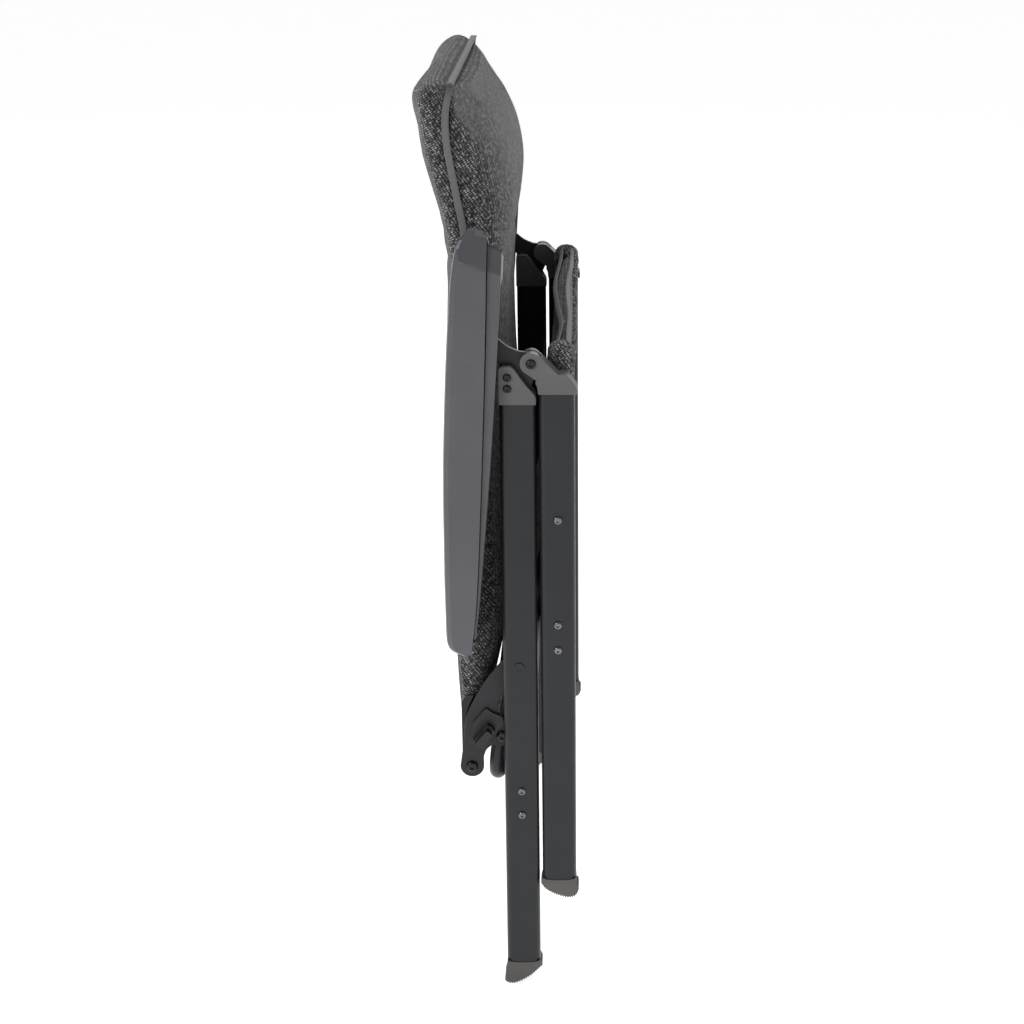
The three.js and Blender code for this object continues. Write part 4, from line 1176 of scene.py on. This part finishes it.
def seat_cover():
    """Padded sling between the side tubes; its slack front edge is bound with tape on both faces."""
    low, high = SEAT_LOW.z, SEAT_HIGH.z - 6 * MM
    heights = [lerp(low, high, i / 100) for i in range(101)]
    bm = bmesh.new()
    rings = []
    half = TUBE_LOW.y * -1 - 0.5 * MM
    around = 112
    for z in heights:
        swell = end_swell(z - low, 0.012) * end_swell(high - z, 0.006)
        ring = []
        for k in range(around):
            a = 2 * math.pi * k / around
            c, s = math.cos(a), math.sin(a)
            y = half * math.copysign(abs(c) ** 0.22, c)
            ring.append(bm.verts.new(seat_point(y, z, math.copysign(abs(s) ** 0.75, s) * swell)))
        rings.append(ring)
    for one, two in zip(rings, rings[1:]):
        for k in range(around):
            j = (k + 1) % around
            bm.faces.new((one[k], one[j], two[j], two[k]))
    bm.faces.new(rings[0])
    bm.faces.new(list(reversed(rings[-1])))
    cover = add_object("seat_cover_padded", bm, "woven_fabric")
    puff(cover, 4 * MM, 2.0, lambda p: 1.0 if abs(p.y) > half - 10 * MM or p.z > high - 8 * MM or
         p.z < low + 8 * MM else 0.0, 5 * MM)
    soften(cover, 1, 3)

    def channel(level):
        return lambda p, normal: p.z - level if abs(p.y) < half - 14 * MM else None

    press_seams(cover, [(channel(level), 4 * MM, 1.6 * MM) for level in (0.40, 0.50, 0.60, 0.70)])
    place_piece(cover, "seat", "woven_fabric", "seat_cover")
    for name, offset in (("seat_edge_tape_rear", -1.0), ("seat_edge_tape_front", 1.0)):
        lift = 1.0 * MM
        path = []
        for i in range(61):
            y = lerp(-half + 2 * MM, half - 2 * MM, i / 60)
            end = math.exp(-((half - abs(y)) / (14 * MM)) ** 2)
            p = seat_point(y, high, offset * 0.95)
            p.z += lift + 7 * MM * end * (1 if y > 0 else 0.4)
            path.append(p)
        path = smooth_path(path, 240)
        way = Vector((offset * 0.75, 0, 0.66)).normalized()
        tape = add_object(name, ribbon(path, lambda i: way, 3.4 * MM, 1.8 * MM), "edge_tape", 60)
        place_piece(tape, "seat", "edge_tape")


def seat_sleeves():
    """Padded sleeves round the front ends of the side tubes, gathered and closed at the top."""
    for side, sign in SIDES:
        low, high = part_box(f"{side}_seat_sleeve")
        y = (low.y + high.y) / 2
        radius = (high.y - low.y) / 2
        bottom = Vector((low.x + radius, y, low.z))
        top = Vector((high.x - radius - 1 * MM, y, high.z + 5 * MM))
        way = (top - bottom).normalized()
        path = [bottom.lerp(top, i / 70) for i in range(71)]
        length = (top - bottom).length

        def girth(t):
            d = (1 - t) * length
            ripple = 1 + 0.02 * math.sin(t * 31.0) + 0.015 * math.sin(t * 67.0 + 1.0)
            return max(0.4 * MM, (radius + 0.4 * MM) * end_swell(d, 0.012, 2.0) * ripple
                       * (0.97 + 0.03 * end_swell(t * length, 0.01)))

        sleeve = add_object(f"{side}_seat_sleeve_padded", ring_tube(path, girth, 48), "woven_fabric")
        for v in sleeve.data.vertices:
            lump = noise.noise(v.co * 45.0) * 0.9 * MM
            out = v.co - bottom
            out = (out - way * out.dot(way))
            if out.length > 1e-5:
                v.co += out.normalized() * (lump - 0.4 * MM)
        place_piece(sleeve, "seat", "woven_fabric", f"{side}_seat_sleeve")


# ---------------------------------------------------------------- stage


def stage():
    """Pale floor, soft studio light and the camera."""
    n = Nodes("floor")
    shade = n.mix(n.ramp(n.noise(3.0), 0.4, 0.6), (0.85, 0.85, 0.85, 1), (0.852, 0.852, 0.852, 1))
    n.set(n.shader.inputs["Base Color"], shade)
    n.shader.inputs["Roughness"].default_value = 0.9
    n.set(n.shader.inputs["Emission Color"], shade)
    n.shader.inputs["Emission Strength"].default_value = 0.85
    bpy.ops.mesh.primitive_plane_add(size=60, location=(0, 0, 0))
    floor = bpy.context.active_object
    floor.name = "floor"
    floor.data.materials.append(n.material)

    world = bpy.data.worlds.new("studio")
    world.use_nodes = True
    world.node_tree.nodes["Background"].inputs[0].default_value = (1, 1, 1, 1)
    world.node_tree.nodes["Background"].inputs[1].default_value = 0.3
    bpy.context.scene.world = world

    def area(name, location, target, size, power):
        light = bpy.data.lights.new(name, "AREA")
        light.energy = power
        light.size = size
        obj = bpy.data.objects.new(name, light)
        bpy.context.scene.collection.objects.link(obj)
        obj.location = location
        obj.rotation_euler = (Vector(target) - Vector(location)).to_track_quat("-Z", "Y").to_euler()

    centre = (0, 0, 0.55)
    area("key", (-2.2, -2.4, 2.2), centre, 1.4, 62)
    area("fill", (2.6, -2.2, 1.6), centre, 2.0, 16)
    area("top", (0.2, 0.4, 3.2), centre, 2.0, 26)
    area("back", (0.5, 3.0, 1.8), centre, 2.0, 26)

    camera = bpy.data.cameras.new("camera")
    camera.sensor_width = 36
    camera.lens = 70.66
    camera.shift_x = -0.0762
    obj = bpy.data.objects.new("camera", camera)
    bpy.context.scene.collection.objects.link(obj)
    obj.location = (0.104, -2.411, 1.357)
    obj.rotation_euler = (math.radians(70.5), 0, 0)
    bpy.context.scene.camera = obj
    bpy.context.scene.view_settings.view_transform = "Standard"


legs()
rear_caps()
front_caps()
feet()
plates()
fasteners()
seat_tube()
back_tube()
armrests()
back_cover()
head_pillow()
back_tape()
seat_cover()
seat_sleeves()
stage()
